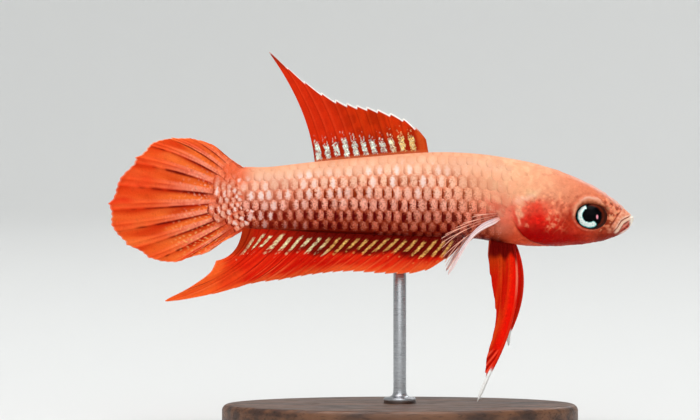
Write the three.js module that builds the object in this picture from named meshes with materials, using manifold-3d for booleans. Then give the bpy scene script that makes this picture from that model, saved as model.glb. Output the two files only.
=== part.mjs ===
// A male Siamese fighting fish of the slim wild form, as a still, life-size model on a display stand.
// Units are millimetres. +X points to the head, +Y to the fish's left, +Z up. The origin is the centre
// of the underside of the stand, and the fish's own axes sit FISH_HEIGHT above it, inside "fish".
import * as THREE from "three";
import { mergeVertices } from "three/addons/utils/BufferGeometryUtils.js";
import Module from "manifold-3d";

const wasm = await Module();
wasm.setup();

// ---------------------------------------------------------------- driving dimensions
const GAP = 0.3; // clear space kept between neighbouring solids
const FIN_THICKNESS = 0.5; // web of every fin
const RAY_RIDGE = 0.14; // how much thicker a fin is over a ray than between two rays
const FIN_ROOT = 0.5; // extra thickness where a fin grows out of the body

const BASE_LENGTH = 44;
const BASE_WIDTH = 27;
const BASE_HEIGHT = 3;
const FISH_HEIGHT = 28.2; // height of the fish's own axes above the underside of the stand
const ROD = { x: 0, y: 2.0, radius: 0.8, top: -1, footRadius: 2.0, footHeight: 0.7 };

// ---------------------------------------------------------------- small helpers
const degrees = THREE.MathUtils.degToRad;
const mix = THREE.MathUtils.lerp;

// Moves every vertex of a three.js geometry to where place(position, uv) says.
function bend(geometry, place) {
  const { position, uv } = geometry.attributes;
  const at = new THREE.Vector3();
  const coordinates = new THREE.Vector2();
  for (let i = 0; i < position.count; i++) {
    at.fromBufferAttribute(position, i);
    coordinates.fromBufferAttribute(uv, i);
    position.setXYZ(i, ...place(at, coordinates).toArray());
  }
  return geometry;
}

// A closed geometry as a manifold-3d solid with its faces pointing out.
function solid(geometry) {
  const bare = geometry.clone();
  bare.deleteAttribute("normal");
  bare.deleteAttribute("uv");
  const merged = mergeVertices(bare, 1e-4);
  const vertProperties = merged.attributes.position.array;
  const triVerts = new Uint32Array(merged.index.array);
  const made = new wasm.Manifold(new wasm.Mesh({ numProp: 3, vertProperties, triVerts }));
  if (made.volume() > 0) return made;
  const flipped = triVerts.map((_, i) => triVerts[i + [0, 1, -1][i % 3]]);
  return new wasm.Manifold(new wasm.Mesh({ numProp: 3, vertProperties, triVerts: flipped }));
}

// The largest body of a solid, which drops the slivers that a cut leaves inside its neighbour.
function largest(made) {
  return made.decompose().reduce((a, b) => (b.volume() > a.volume() ? b : a));
}

// A smooth function through [place, value, value, ...] rows: cubic pieces with a Catmull-Rom slope.
function through(rows) {
  const column = (row, k) => rows[THREE.MathUtils.clamp(row, 0, rows.length - 1)][k];
  const slope = (row, k) =>
    (column(row + 1, k) - column(row - 1, k)) / (column(row + 1, 0) - column(row - 1, 0));
  return (place) => {
    const next = rows.findIndex((row) => row[0] >= place);
    const b = THREE.MathUtils.clamp(next < 0 ? rows.length - 1 : next, 1, rows.length - 1);
    const a = b - 1;
    const span = rows[b][0] - rows[a][0];
    const t = THREE.MathUtils.clamp((place - rows[a][0]) / span, 0, 1);
    const rise = t * t * (3 - 2 * t);
    return rows[0].slice(1).map((_, i) => {
      const k = i + 1;
      const leave = span * slope(a, k) * t * (1 - t) ** 2;
      const arrive = span * slope(b, k) * t * t * (1 - t);
      return mix(rows[a][k], rows[b][k], rise) + leave - arrive;
    });
  };
}

// ---------------------------------------------------------------- the body
// One row for each section of the body, from the tail's stump to the tip of the lower jaw. The first
// number only counts the sections. The others are the section's place along X, the height of the
// back and of the belly, half its width, the height at which it is widest, and its squareness.
const sectionAt = through([
  [0, -22.4, 0.25, 0.25, 0, 0.25, 2.0],
  [1, -22.2, 1.7, -1.2, 0.3, 0.25, 2.0],
  [2, -21.5, 3.0, -2.5, 0.58, 0.25, 2.0],
  [3, -20.5, 3.8, -3.3, 0.82, 0.25, 2.0],
  [4, -19.0, 4.18, -3.66, 1.05, 0.25, 2.0],
  [5, -16.0, 4.22, -3.78, 1.42, 0.3, 2.0],
  [6, -10.5, 4.85, -4.08, 2.1, 0.5, 2.05],
  [7, -3.7, 5.47, -4.38, 2.8, 0.6, 2.1],
  [8, 3.7, 6.01, -4.6, 3.3, 0.6, 2.15],
  [9, 9.0, 5.88, -4.85, 3.55, 0.4, 2.2],
  [10, 13.6, 5.25, -5.55, 3.75, -0.2, 2.3],
  [11, 18.5, 4.01, -5.72, 3.6, -1.1, 2.4],
  [12, 22.2, 2.59, -5.5, 3.12, -1.7, 2.45],
  [13, 24.7, 1.3, -5.1, 2.62, -2.0, 2.4],
  [14, 26.6, -0.12, -4.5, 2.05, -2.2, 2.3],
  [15, 27.8, -1.14, -3.9, 1.5, -2.35, 2.2],
  [16, 28.5, -1.8, -3.2, 0.85, -2.4, 2.1],
  [17, 28.85, -2.4, -2.4, 0, -2.4, 2.0],
]);
const SECTIONS = 17;
const BODY_STEPS = 38;
const BODY_SIDES = 22;

// Where a section's outline is at an angle round it, grown outwards by `grow`.
function bodyPoint(section, angle, grow) {
  const [x, back, belly, half, widest, squareness] = sectionAt(section);
  const power = 2 / squareness;
  const across = Math.sign(Math.cos(angle)) * Math.abs(Math.cos(angle)) ** power;
  const up = Math.sign(Math.sin(angle)) * Math.abs(Math.sin(angle)) ** power;
  const end = half > 0 ? 0 : Math.sign(section - 1) * grow;
  const flesh = half > 0 ? grow : 0;
  const reach = up > 0 ? back - widest + flesh : widest - belly + flesh;
  return new THREE.Vector3(x + end, across * (half + flesh), widest + up * Math.max(reach, 0));
}

// The whole body as one closed form: a sphere whose circles become the body's sections.
function bodySolid(grow) {
  const sphere = new THREE.SphereGeometry(1, BODY_SIDES, BODY_STEPS);
  return solid(
    bend(sphere, (_, uv) => bodyPoint(uv.y * SECTIONS, uv.x * 2 * Math.PI, grow)),
  );
}

// Heights of the back and belly at a place along X, found by halving.
function outlineAt(x) {
  let low = 0;
  let high = SECTIONS;
  while (high - low > 1e-4) {
    const middle = (low + high) / 2;
    if (sectionAt(middle)[0] < x) low = middle;
    else high = middle;
  }
  const [, back, belly, half] = sectionAt(low);
  return { back, belly, half };
}

const body = bodySolid(0);
const bodyAndGap = bodySolid(GAP);

// A thin plate that parts the body, running from one point of the X-Z plane to another.
function cut(fromX, fromZ, toX, toZ) {
  const plate = new THREE.BoxGeometry(Math.hypot(toX - fromX, toZ - fromZ), 20, GAP);
  plate.rotateY(-Math.atan2(toZ - fromZ, toX - fromX));
  plate.translate((fromX + toX) / 2, 0, (fromZ + toZ) / 2);
  return solid(plate);
}

// ---------------------------------------------------------------- eyes and gill covers
const EYE = { x: 23.5, y: 2.15, z: -1.98, long: 2.0, depth: 1.45, high: 1.7 };
const GILL_COVER = { x: 16.5, z: -1.7, long: 3.1, high: 3.0, thickness: 0.9 };

function eyeSolid(side, grow) {
  const ball = new THREE.SphereGeometry(1, 14, 10);
  ball.rotateX(Math.PI / 2);
  ball.scale(EYE.long + grow, EYE.depth + grow, EYE.high + grow);
  ball.translate(EYE.x, side * EYE.y, EYE.z);
  return solid(ball);
}

// An oval bar across one side of the head, which cuts the gill cover's outline.
function gillCoverBar(side, grow) {
  const width = 8;
  const bar = new THREE.CylinderGeometry(1, 1, width, 16);
  bar.scale(GILL_COVER.long + grow, 1, GILL_COVER.high + grow);
  bar.translate(GILL_COVER.x, (side * width) / 2, GILL_COVER.z);
  return solid(bar);
}

function gillCoverSolid(side) {
  const plate = body.subtract(bodySolid(-GILL_COVER.thickness));
  return largest(plate.intersect(gillCoverBar(side, 0)));
}

// ---------------------------------------------------------------- flesh, parted by thin cuts
const MOUTH = { tipX: 29.4, tipZ: -1.5, cornerX: 25.8, cornerZ: -3.85, throatX: 23.6, throatZ: -6.2 };
const CUTS_ACROSS = [-14, -2.6, 12.8]; // where the tail, the trunk's two halves and the head part

function fleshSolids() {
  let whole = body;
  for (const x of CUTS_ACROSS) whole = whole.subtract(cut(x, -8, x, 8));
  whole = whole.subtract(cut(MOUTH.tipX, MOUTH.tipZ, MOUTH.cornerX, MOUTH.cornerZ));
  whole = whole.subtract(cut(MOUTH.cornerX, MOUTH.cornerZ, MOUTH.throatX, MOUTH.throatZ));
  for (const side of [-1, 1]) {
    const recess = gillCoverBar(side, GAP).subtract(bodySolid(-GILL_COVER.thickness - GAP));
    whole = whole.subtract(recess).subtract(eyeSolid(side, GAP));
  }
  const lowestX = (piece) => piece.boundingBox().min[0];
  const pieces = whole.decompose().filter((piece) => piece.volume() > 0.5);
  const inOrder = pieces.sort((a, b) => lowestX(a) - lowestX(b));
  const names = ["tail_base", "trunk_rear", "trunk_front", "head", "lower_jaw"];
  return Object.fromEntries(names.map((name, i) => [name, inOrder[i]]));
}

// ---------------------------------------------------------------- fins
// A fin is a box bent into a fan. u runs from its first ray to its last and v from its root to its
// margin. Each ray is a curve of one bend from root(u) to tip(u), pushed sideways by bow(u).
function finPoint(fin, u, v) {
  const root = fin.root(u);
  const tip = fin.tip(u);
  const middle = root.clone().lerp(tip, 0.5).add(fin.bow(u));
  const web = Math.abs(Math.sin(Math.PI * (fin.rays - 1) * u)); // 0 on a ray, 1 between two
  const t = v * (1 - (fin.notch * web) / Math.max(root.distanceTo(tip), fin.notch * 3));
  const at = root.clone().multiplyScalar((1 - t) ** 2);
  at.addScaledVector(middle, 2 * t * (1 - t));
  at.addScaledVector(tip, t * t);
  return at.add(fin.sway(u, t));
}

function finSolid(fin) {
  const step = 1e-3;
  const box = new THREE.BoxGeometry(1, 1, 1, 2 * (fin.rays - 1), fin.steps, 1);
  bend(box, (at) => {
    const u = at.x + 0.5;
    const v = at.y + 0.5;
    const here = finPoint(fin, u, v);
    const alongU = finPoint(fin, u + (u < 0.5 ? step : -step), v).sub(here);
    const alongV = finPoint(fin, u, v + (v < 0.5 ? step : -step)).sub(here);
    const flip = (u < 0.5 ? 1 : -1) * (v < 0.5 ? 1 : -1);
    const outward = alongU.cross(alongV).multiplyScalar(flip).normalize();
    const ridge = RAY_RIDGE * Math.abs(Math.cos(Math.PI * (fin.rays - 1) * u)) * (1 - v);
    const thickness = FIN_THICKNESS + ridge + FIN_ROOT * (1 - v) ** 4;
    return here.addScaledVector(outward, thickness * at.z);
  });
  return largest(solid(box).subtract(bodyAndGap));
}

const still = () => new THREE.Vector3();
const inside = 0.6; // how far a fin's root starts inside the body, before the body is cut away

// Dorsal fin: a low front edge that climbs to a long, swept point over the last rays.
const dorsalTip = through([
  [0, 3.15, 7.9],
  [0.08, 1.75, 9.25],
  [0.17, 0.1, 10.35],
  [0.33, -2.95, 11.35],
  [0.67, -8.3, 12.6],
  [0.83, -12.1, 14.95],
  [1, -16.45, 18.65],
]);
const DORSAL = {
  rays: 13,
  steps: 6,
  notch: 0.35,
  frontX: 3.6,
  rearX: -10.5,
  root(u) {
    const x = mix(this.frontX, this.rearX, u);
    return new THREE.Vector3(x, 0, outlineAt(x).back - inside);
  },
  tip(u) {
    const [x, z] = dorsalTip(u);
    return new THREE.Vector3(x, 0, z);
  },
  bow: (u) => new THREE.Vector3(2.5, 0, -0.3).multiplyScalar(u ** 3),
  sway: (u, t) => new THREE.Vector3(0, 0.5 * t * t * Math.sin(2.6 * Math.PI * u + 0.6), 0),
};

// Anal fin: long and low, ending in a point that streams back under the tail. Each row holds the share
// from the first ray to the last, the root's place along X, the tip's x and z, and the ray's bow.
const analRay = through([
  [0, 8.0, 7.3, -5.9, 0.1],
  [0.03, 7.6, 5.9, -7.15, 0.2],
  [0.07, 6.9, 3.4, -8.65, 0.4],
  [0.12, 5.8, 1.0, -9.15, 0.6],
  [0.2, 3.6, -1.9, -9.15, 0.7],
  [0.35, -0.6, -6.6, -8.9, 0.7],
  [0.5, -4.9, -11.2, -9.3, 0.8],
  [0.62, -8.3, -15.2, -9.95, 1.0],
  [0.7, -10.6, -18.4, -10.35, 1.3],
  [0.76, -12.3, -21.4, -11.2, 1.8],
  [0.8, -13.4, -24.4, -11.9, 2.2],
  [0.845, -14.7, -29.0, -12.5, 2.8],
  [0.89, -16.0, -26.0, -10.8, 2.5],
  [0.93, -17.2, -23.6, -9.1, 2.3],
  [0.965, -18.3, -22.95, -8.1, 2.2],
  [1, -19.4, -22.7, -7.5, 2.2],
]);
const ANAL = {
  rays: 25,
  steps: 4,
  notch: 0.26,
  root(u) {
    const [x] = analRay(u);
    return new THREE.Vector3(x, 0, outlineAt(x).belly + inside);
  },
  tip(u) {
    const [, x, z] = analRay(u);
    return new THREE.Vector3(x, 0, z);
  },
  bow: (u) => new THREE.Vector3(0.6, 0, -0.8).multiplyScalar(analRay(u)[3]),
  sway: (u, t) => new THREE.Vector3(0, -0.45 * t * t * Math.sin(3.2 * Math.PI * u - 0.4), 0),
};

// Tail fin: a nearly round fan, a little flattened at its upper rear. Its roots lie on the tail's
// rounded stump.
const caudalTip = through([
  [0, -20.2, 4.4],
  [0.05, -22.0, 5.8],
  [0.12, -24.3, 7.3],
  [0.22, -27.9, 7.8],
  [0.33, -31.2, 6.7],
  [0.42, -33.6, 4.1],
  [0.5, -35.3, 1.1],
  [0.56, -36.2, -1.3],
  [0.64, -35.1, -4.0],
  [0.73, -32.6, -6.5],
  [0.83, -28.4, -7.7],
  [0.92, -24.6, -6.7],
  [0.96, -22.4, -5.4],
  [1, -20.2, -4.05],
]);
const CAUDAL = {
  rays: 14,
  steps: 6,
  notch: 0.35,
  root(u) {
    const side = 1 - 2 * u;
    return new THREE.Vector3(-20.0 + 1.8 * side * side, 0, 0.25 + 3.3 * side);
  },
  tip(u) {
    const [x, z] = caudalTip(u);
    return new THREE.Vector3(x, 0, z);
  },
  bow: (u) => new THREE.Vector3(-0.4, 0, (u < 0.5 ? 1.7 : 0.8) * Math.sin(2 * Math.PI * u)),
  sway: (u, t) => new THREE.Vector3(0, 0.55 * t * t * Math.sin(3.4 * Math.PI * u), 0),
};

// Pectoral fin: a clear fan behind the gill cover, folded back and down beside the belly.
const pectoralTip = through([
  [0, 9.0, -1.75, 4.1],
  [0.2, 7.1, -3.05, 4.6],
  [0.4, 5.0, -4.45, 5.2],
  [0.6, 4.9, -5.5, 5.5],
  [0.8, 5.2, -7.3, 5.8],
  [1, 5.8, -8.9, 5.8],
]);
const pectoral = (side) => ({
  rays: 9,
  steps: 5,
  notch: 0.15,
  root: (u) => new THREE.Vector3(mix(12.3, 12.1, u), side * 3.45, mix(-1.3, -2.7, u)),
  tip(u) {
    const [x, z, y] = pectoralTip(u);
    return new THREE.Vector3(x, side * y, z);
  },
  bow: (u) => new THREE.Vector3(-1.2 * u, side * 0.3, 1.3 * u),
  sway: still,
});

// Pelvic fin: a narrow blade whose first ray runs on into a thread. It hangs from the breast, swings
// forwards by `swing` degrees and out by `splay`, and its first ray arches forwards by `bow`.
const pelvicTip = through([
  [0, -2.9, -19.9],
  [0.06, -2.2, -17.6],
  [0.2, -1.95, -16.0],
  [0.4, -1.35, -13.0],
  [0.6, -0.8, -9.5],
  [0.8, -1.1, -5.6],
  [1, -1.6, -1.9],
]);
const PELVIC = { x: 12.4, y: 0.75, z: -4.9, halfRoot: 1.45 };
const pelvic = (side, swing, splay, length, bow) => {
  const turn = (x, z) => {
    const leg = new THREE.Vector3(x, 0, z);
    leg.applyAxisAngle(new THREE.Vector3(0, 1, 0), degrees(-swing));
    leg.applyAxisAngle(new THREE.Vector3(1, 0, 0), degrees(side * splay));
    return leg;
  };
  const root = new THREE.Vector3(PELVIC.x, side * PELVIC.y, PELVIC.z);
  return {
    rays: 6,
    steps: 8,
    notch: 0.2,
    root: (u) => turn(mix(PELVIC.halfRoot, -PELVIC.halfRoot, u), 0).add(root),
    tip(u) {
      const [x, z] = pelvicTip(u);
      return turn(x, z * length).add(root);
    },
    bow: (u) => turn(bow * (1 - u) ** 1.5, 0),
    sway: still,
  };
};

// ---------------------------------------------------------------- the stand
function standBase() {
  const top = BASE_HEIGHT;
  const edge = 0.6; // the rim's bevel
  const profile = [
    [0, 0],
    [1 - 0.3 / BASE_LENGTH, 0],
    [1, 0.3],
    [1, top - edge],
    [1 - (2 * edge) / BASE_LENGTH, top],
    [0, top],
  ].map(([radius, z]) => new THREE.Vector2(radius, z));
  const turned = new THREE.LatheGeometry(profile, 40);
  turned.rotateX(Math.PI / 2);
  turned.scale(BASE_LENGTH / 2, BASE_WIDTH / 2, 1);
  return solid(turned);
}

// The rod stands beside the anal fin, and its top is hollowed to the underside of the belly.
function standRod() {
  const { radius, footRadius, footHeight } = ROD;
  const foot = BASE_HEIGHT + GAP - FISH_HEIGHT;
  const length = ROD.top - foot;
  const profile = [
    [0, 0],
    [footRadius, 0],
    [footRadius, footHeight * 0.6],
    [footRadius * 0.7, footHeight],
    [radius, footHeight * 1.3],
    [radius, length],
    [0, length],
  ].map(([r, z]) => new THREE.Vector2(r, z));
  const turned = new THREE.LatheGeometry(profile, 16);
  turned.rotateX(Math.PI / 2);
  turned.translate(ROD.x, ROD.y, foot);
  return largest(solid(turned).subtract(bodyAndGap));
}

// ---------------------------------------------------------------- materials
const paint = (color, roughness, metalness = 0) =>
  new THREE.MeshStandardMaterial({ color, roughness, metalness, side: THREE.FrontSide });
const MATERIALS = {
  flank: paint(0xe8927a, 0.45),
  head: paint(0xd9604a, 0.45),
  fin: paint(0xe23a17, 0.5),
  clearFin: paint(0xe9b9a8, 0.4),
  eye: paint(0x0c0c10, 0.12),
  wood: paint(0x3a2618, 0.45),
  steel: paint(0x9a9da0, 0.3, 1),
};

function node(name, made, material) {
  const { vertProperties, triVerts } = made.getMesh();
  const geometry = new THREE.BufferGeometry();
  geometry.setAttribute("position", new THREE.BufferAttribute(vertProperties, 3));
  geometry.setIndex(new THREE.BufferAttribute(triVerts, 1));
  const mesh = new THREE.Mesh(geometry, material);
  mesh.name = name;
  return mesh;
}

// ---------------------------------------------------------------- assembly
const fish = new THREE.Group();
fish.position.z = FISH_HEIGHT;
const flesh = fleshSolids();
for (const [name, made] of Object.entries(flesh)) {
  const isHead = name === "head" || name === "lower_jaw";
  fish.add(node(name, made, isHead ? MATERIALS.head : MATERIALS.flank));
}
for (const [name, side] of Object.entries({ right: -1, left: 1 })) {
  fish.add(node(`eye_${name}`, eyeSolid(side, 0), MATERIALS.eye));
  fish.add(node(`gill_cover_${name}`, gillCoverSolid(side), MATERIALS.head));
  fish.add(node(`fin_pectoral_${name}`, finSolid(pectoral(side)), MATERIALS.clearFin));
}
fish.add(node("fin_dorsal", finSolid(DORSAL), MATERIALS.fin));
fish.add(node("fin_anal", finSolid(ANAL), MATERIALS.fin));
fish.add(node("fin_caudal", finSolid(CAUDAL), MATERIALS.fin));
fish.add(node("fin_pelvic_right", finSolid(pelvic(-1, 0, 7, 1, 3.2)), MATERIALS.fin));
fish.add(node("fin_pelvic_left", finSolid(pelvic(1, 11.5, 34, 0.84, 2.95)), MATERIALS.fin));
fish.add(node("stand_rod", standRod(), MATERIALS.steel));

const model = new THREE.Group();
model.add(fish);
model.add(node("stand_base", standBase(), MATERIALS.wood));

export default model;
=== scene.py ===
# %% [markdown]
# # A red fighting fish on a small stand
# The animal is a slim male fighting fish, 65 mm from lip to tail. The frame holds plain solids for its
# flesh, eyes, fins and stand. Here each of them gets the fine surface that the eye sees: one skin, a
# coat of scales, rayed fins, wet eyes, and a finish for each. Lengths are in millimetres in the fish's
# own axes: +X to the head, +Y to its left, +Z up. Only `make_piece` turns them into metres.

import math
from types import SimpleNamespace

import bpy
import numpy as np

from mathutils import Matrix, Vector


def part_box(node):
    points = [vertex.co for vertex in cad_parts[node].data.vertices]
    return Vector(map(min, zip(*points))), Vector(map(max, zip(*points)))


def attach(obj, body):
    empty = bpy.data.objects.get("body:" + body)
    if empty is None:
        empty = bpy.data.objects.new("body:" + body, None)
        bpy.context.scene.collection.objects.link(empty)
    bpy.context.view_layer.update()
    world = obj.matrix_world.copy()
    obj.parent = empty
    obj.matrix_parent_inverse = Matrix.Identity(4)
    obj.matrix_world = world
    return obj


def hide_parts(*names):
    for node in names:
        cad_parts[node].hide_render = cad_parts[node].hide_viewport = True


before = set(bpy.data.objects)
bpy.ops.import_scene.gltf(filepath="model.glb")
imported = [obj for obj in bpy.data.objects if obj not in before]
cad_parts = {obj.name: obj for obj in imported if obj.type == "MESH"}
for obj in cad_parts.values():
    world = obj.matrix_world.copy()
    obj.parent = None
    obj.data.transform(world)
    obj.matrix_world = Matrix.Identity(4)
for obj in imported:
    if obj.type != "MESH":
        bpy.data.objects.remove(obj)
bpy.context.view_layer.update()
FISH_HEIGHT = 28.2  # how far the fish's own axes lie above the underside of the stand

low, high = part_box("eye_right")
EYE_X = (low.x + high.x) * 500 - 0.22
EYE_Z = (low.z + high.z) * 500 - FISH_HEIGHT + 0.07
print(f"eye centre at x {EYE_X:.2f}, z {EYE_Z:.2f}; {len(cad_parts)} solids in the frame")

# %% [markdown]
# Shapes and markings below are formulas of place, so a few small helpers do most of the work: a
# smooth step, a bell, a mix and a smooth curve through given rows. Each takes whole arrays of
# places at once, which keeps a surface of 100,000 points quick; a loop over points would be slow.


# %% Steps, bells and curves
def step(start, end, x):
    """0 before start, 1 after end, and an S-shaped rise between them."""
    t = np.clip((x - start) / (end - start), 0, 1)
    return t * t * (3 - 2 * t)


def bell(x, centre, width):
    """1 at the centre, falling on both sides to 1/e one width away."""
    return np.exp(-(((x - centre) / width) ** 2))


def mix(a, b, t):
    """a where t is 0, b where t is 1, in proportion between."""
    return a + (b - a) * t


def paint(a, b, t):
    """The same for colours: one colour or a field of them, with an amount for each point."""
    return a + (b - a) * np.clip(t, 0, 1)[..., None]


def through(rows):
    """A smooth curve through [place, value, value, ...] rows. Between two rows each value follows
    the cubic whose slope at a row is that of the line from the row before to the row after."""
    rows = np.array(rows, float)
    place, value = rows[:, 0], rows[:, 1:]
    before = np.maximum(np.arange(len(rows)) - 1, 0)
    after = np.minimum(np.arange(len(rows)) + 1, len(rows) - 1)
    slope = (value[after] - value[before]) / (place[after] - place[before])[:, None]

    def at(x):
        """The values at places x, one array for each value."""
        b = np.clip(np.searchsorted(place, x), 1, len(place) - 1)
        a = b - 1
        span = (place[b] - place[a])[..., None]
        t = np.clip((np.asarray(x) - place[a])[..., None] / span, 0, 1)
        rise = t * t * (3 - 2 * t)
        bend = span * (slope[a] * t * (1 - t) ** 2 - slope[b] * t * t * (1 - t))
        return np.moveaxis(value[a] + (value[b] - value[a]) * rise + bend, -1, 0)

    return at


print("half of an S-step:", step(0, 2, 1), "and a bell one width off:", round(float(bell(1, 0, 1)), 2))

# %% [markdown]
# A groove, a lip or a lid follows a line on the side of the head. `path_distance` tells how far a
# point lies from such a line, and on which side, so one line can shape a groove and colour it too.
# `ripple` is smooth randomness from a fixed seed: it frays borders and varies tones, which a living
# animal has everywhere, and it comes out the same at every run.


# %% Lines, ripples and colours
def path_distance(x, z, path):
    """(signed distance, share of the way along) from points to a path of straight pieces. The
    distance is positive on the left of the path's direction in the X-Z plane."""
    path = np.array(path, float)
    length = np.hypot(*np.diff(path, axis=0).T)
    start = np.concatenate([[0], np.cumsum(length)]) / length.sum()
    best = np.full(np.shape(x), 1e9)
    signed = np.zeros(np.shape(x))
    share = np.zeros(np.shape(x))
    for i, (a, b) in enumerate(zip(path[:-1], path[1:])):
        along = (b - a) / length[i]
        dx, dz = x - a[0], z - a[1]
        t = np.clip(dx * along[0] + dz * along[1], 0, length[i])
        away = np.hypot(dx - t * along[0], dz - t * along[1])
        side = np.where(along[0] * dz - along[1] * dx >= 0, 1, -1)
        nearer = away < best
        best = np.where(nearer, away, best)
        signed = np.where(nearer, side * away, signed)
        share = np.where(nearer, start[i] + t / length[i] * (start[i + 1] - start[i]), share)
    return signed, share


def ripple(seed, wave, *coordinates):
    """A smooth random field of about -1 to 1: the sum of nine sine waves of about the given
    wavelength, each with its own direction and phase, divided by 3.5."""
    draw = np.random.default_rng(seed)
    total = 0.0
    for _ in range(9):
        way = draw.normal(size=len(coordinates))
        way *= 2 * np.pi / (wave * draw.uniform(0.7, 1.5)) / np.linalg.norm(way)
        phase = draw.uniform(0, 2 * np.pi)
        total = total + np.sin(sum(k * c for k, c in zip(way, coordinates)) + phase)
    return total / 3.5


def colour(red, green, blue):
    """A colour given as display values of 0 to 255, as the linear numbers that light adds up in.
    Each value may also be an array, for a field of colours."""
    display = np.stack([red, green, blue], -1) / 255
    return np.where(display <= 0.04045, display / 12.92, ((display + 0.055) / 1.055) ** 2.4)


print("ripple spread", round(float(ripple(1, 2.0, np.linspace(0, 99, 5000)).std()), 2))

# %% [markdown]
# A mesh is points and faces. Blender can add faces one at a time, but whole arrays are far faster:
# `foreach_set` hands over every corner at once. `grid_faces` gives the faces of any grid, closed on
# itself or not, and `make_piece` turns points, faces, a colour for each point and a map into a piece
# that rides on the frame's body and stands for the frame's solids.


# %% Make a mesh piece
def grid_faces(rows, columns, closed=False, first=0):
    """Quads of a grid whose points are numbered row by row. Each runs first along its row."""
    column = np.arange(columns if closed else columns - 1)
    row = np.arange(rows - 1)[:, None] * columns + first
    beside = (column + 1) % columns
    corners = [row + column, row + beside, row + columns + beside, row + columns + column]
    return np.stack([np.broadcast_to(c, (rows - 1, len(column))) for c in corners], -1).reshape(-1, 4)


def make_piece(name, points, faces, material, replaces=(), fields=None, bake_map=None, smooth=None):
    """A piece from points (N, 3) in the fish's axes and faces, which is a list of arrays that each
    hold faces with one number of corners. fields maps an attribute's name to a number, a vector or
    a colour for each point. bake_map is a place on a flat map for each point. smooth says for each
    array of faces whether it is shaded smoothly, as all are otherwise."""
    mesh = bpy.data.meshes.new(name)
    place = (np.asarray(points, float) + [0, 0, FISH_HEIGHT]) * 0.001
    corners = np.concatenate([f.ravel() for f in faces]).astype(np.int32)
    sizes = np.concatenate([np.full(len(f), f.shape[1]) for f in faces]).astype(np.int32)
    mesh.vertices.add(len(place))
    mesh.vertices.foreach_set("co", place.astype(np.float32).ravel())
    mesh.loops.add(len(corners))
    mesh.loops.foreach_set("vertex_index", corners)
    mesh.polygons.add(len(sizes))
    starts = np.concatenate([[0], np.cumsum(sizes)[:-1]]).astype(np.int32)
    mesh.polygons.foreach_set("loop_start", starts)
    shading = [np.full(len(f), is_smooth) for f, is_smooth in zip(faces, smooth or [True] * len(faces))]
    mesh.polygons.foreach_set("use_smooth", np.concatenate(shading))
    mesh.update(calc_edges=True)
    for key, values in (fields or {}).items():
        values = np.asarray(values, np.float32).reshape(len(place), -1)
        if values.shape[1] == 1:
            mesh.attributes.new(key, "FLOAT", "POINT").data.foreach_set("value", values.ravel())
        elif key.endswith("tint"):
            full = np.hstack([np.clip(values, 0, 1), np.ones((len(place), 1), np.float32)])
            mesh.attributes.new(key, "FLOAT_COLOR", "POINT").data.foreach_set("color", full.ravel())
        else:
            mesh.attributes.new(key, "FLOAT_VECTOR", "POINT").data.foreach_set("vector", values.ravel())
    if bake_map is not None:
        layer = mesh.uv_layers.new(name="OFBake")
        layer.uv.foreach_set("vector", np.asarray(bake_map, np.float32)[corners].ravel())
    mesh.materials.append(material)
    obj = bpy.data.objects.new(name, mesh)
    bpy.context.scene.collection.objects.link(obj)
    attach(obj, "root")
    if replaces:
        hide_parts(*replaces)
    triangles = int((sizes - 2).sum())
    print(f"{name}: {len(place)} points, {triangles} triangles")
    return obj


print("a grid of 3 by 4 points has", len(grid_faces(3, 4)), "faces")

# %% [markdown]
# ## Finishes in short
# A material is a tree of nodes. Written out in full, each node takes four lines, so a few helpers
# shorten them: one adds a node and joins its inputs, and the others are the nodes used most.


# %% Nodes in short
def new_group(name, inputs, outputs):
    """A node group with sockets given as {name: (kind, default)} and {name: kind}."""
    group = bpy.data.node_groups.new(name, "ShaderNodeTree")
    for key, (kind, default) in inputs.items():
        socket = group.interface.new_socket(key, in_out="INPUT", socket_type=kind)
        if default is not None:
            socket.default_value = default
    for key, kind in outputs.items():
        group.interface.new_socket(key, in_out="OUTPUT", socket_type=kind)
    return group, group.nodes.new("NodeGroupInput"), group.nodes.new("NodeGroupOutput")


def join(tree, node, links):
    """Fills a node's inputs. Each value in links is a socket to join, or a plain value."""
    for key, value in links.items():
        if isinstance(value, bpy.types.NodeSocket):
            tree.links.new(value, node.inputs[key])
        else:
            node.inputs[key].default_value = value


def add(tree, kind, links=None, **settings):
    """A node of that kind, with its inputs filled from links and its properties from settings."""
    node = tree.nodes.new(kind)
    for key, value in settings.items():
        setattr(node, key, value)
    join(tree, node, links or {})
    return node


def field(tree, name, output="Color"):
    """One of the mesh's fields, as a colour, a number ("Fac") or a vector ("Vector")."""
    return add(tree, "ShaderNodeAttribute", attribute_name=name).outputs[output]


def noise(tree, place, scale, detail=3.0, roughness=0.55):
    """Noise of 0 to 1 at places, where scale is the number of blobs in a metre."""
    links = {"Vector": place, "Scale": scale, "Detail": detail, "Roughness": roughness}
    return add(tree, "ShaderNodeTexNoise", links).outputs["Fac"]


def maths(tree, operation, a, b=0.0):
    """One Math node: the operation on a and b."""
    return add(tree, "ShaderNodeMath", {0: a, 1: b}, operation=operation).outputs[0]


def ramp(tree, value, start, end, low=0.0, high=1.0):
    """Maps value from start..end to low..high along an S-curve, and holds it outside."""
    links = {"Value": value, "From Min": start, "From Max": end, "To Min": low, "To Max": high}
    return add(tree, "ShaderNodeMapRange", links, interpolation_type="SMOOTHSTEP").outputs[0]


def blend_colour(tree, factor, a, b, kind="MIX"):
    """A Mix node for colours: a where factor is 0, b where it is 1."""
    links = {0: factor, 6: a, 7: b}
    return add(tree, "ShaderNodeMix", links, data_type="RGBA", blend_type=kind).outputs[2]


def shade(red, green, blue):
    """The same colour as `colour` gives, with an alpha of 1 for a node's socket."""
    return (*colour(red, green, blue), 1.0)


print("brick red as a node's colour:", [round(float(v), 2) for v in shade(160, 60, 40)])

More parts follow.
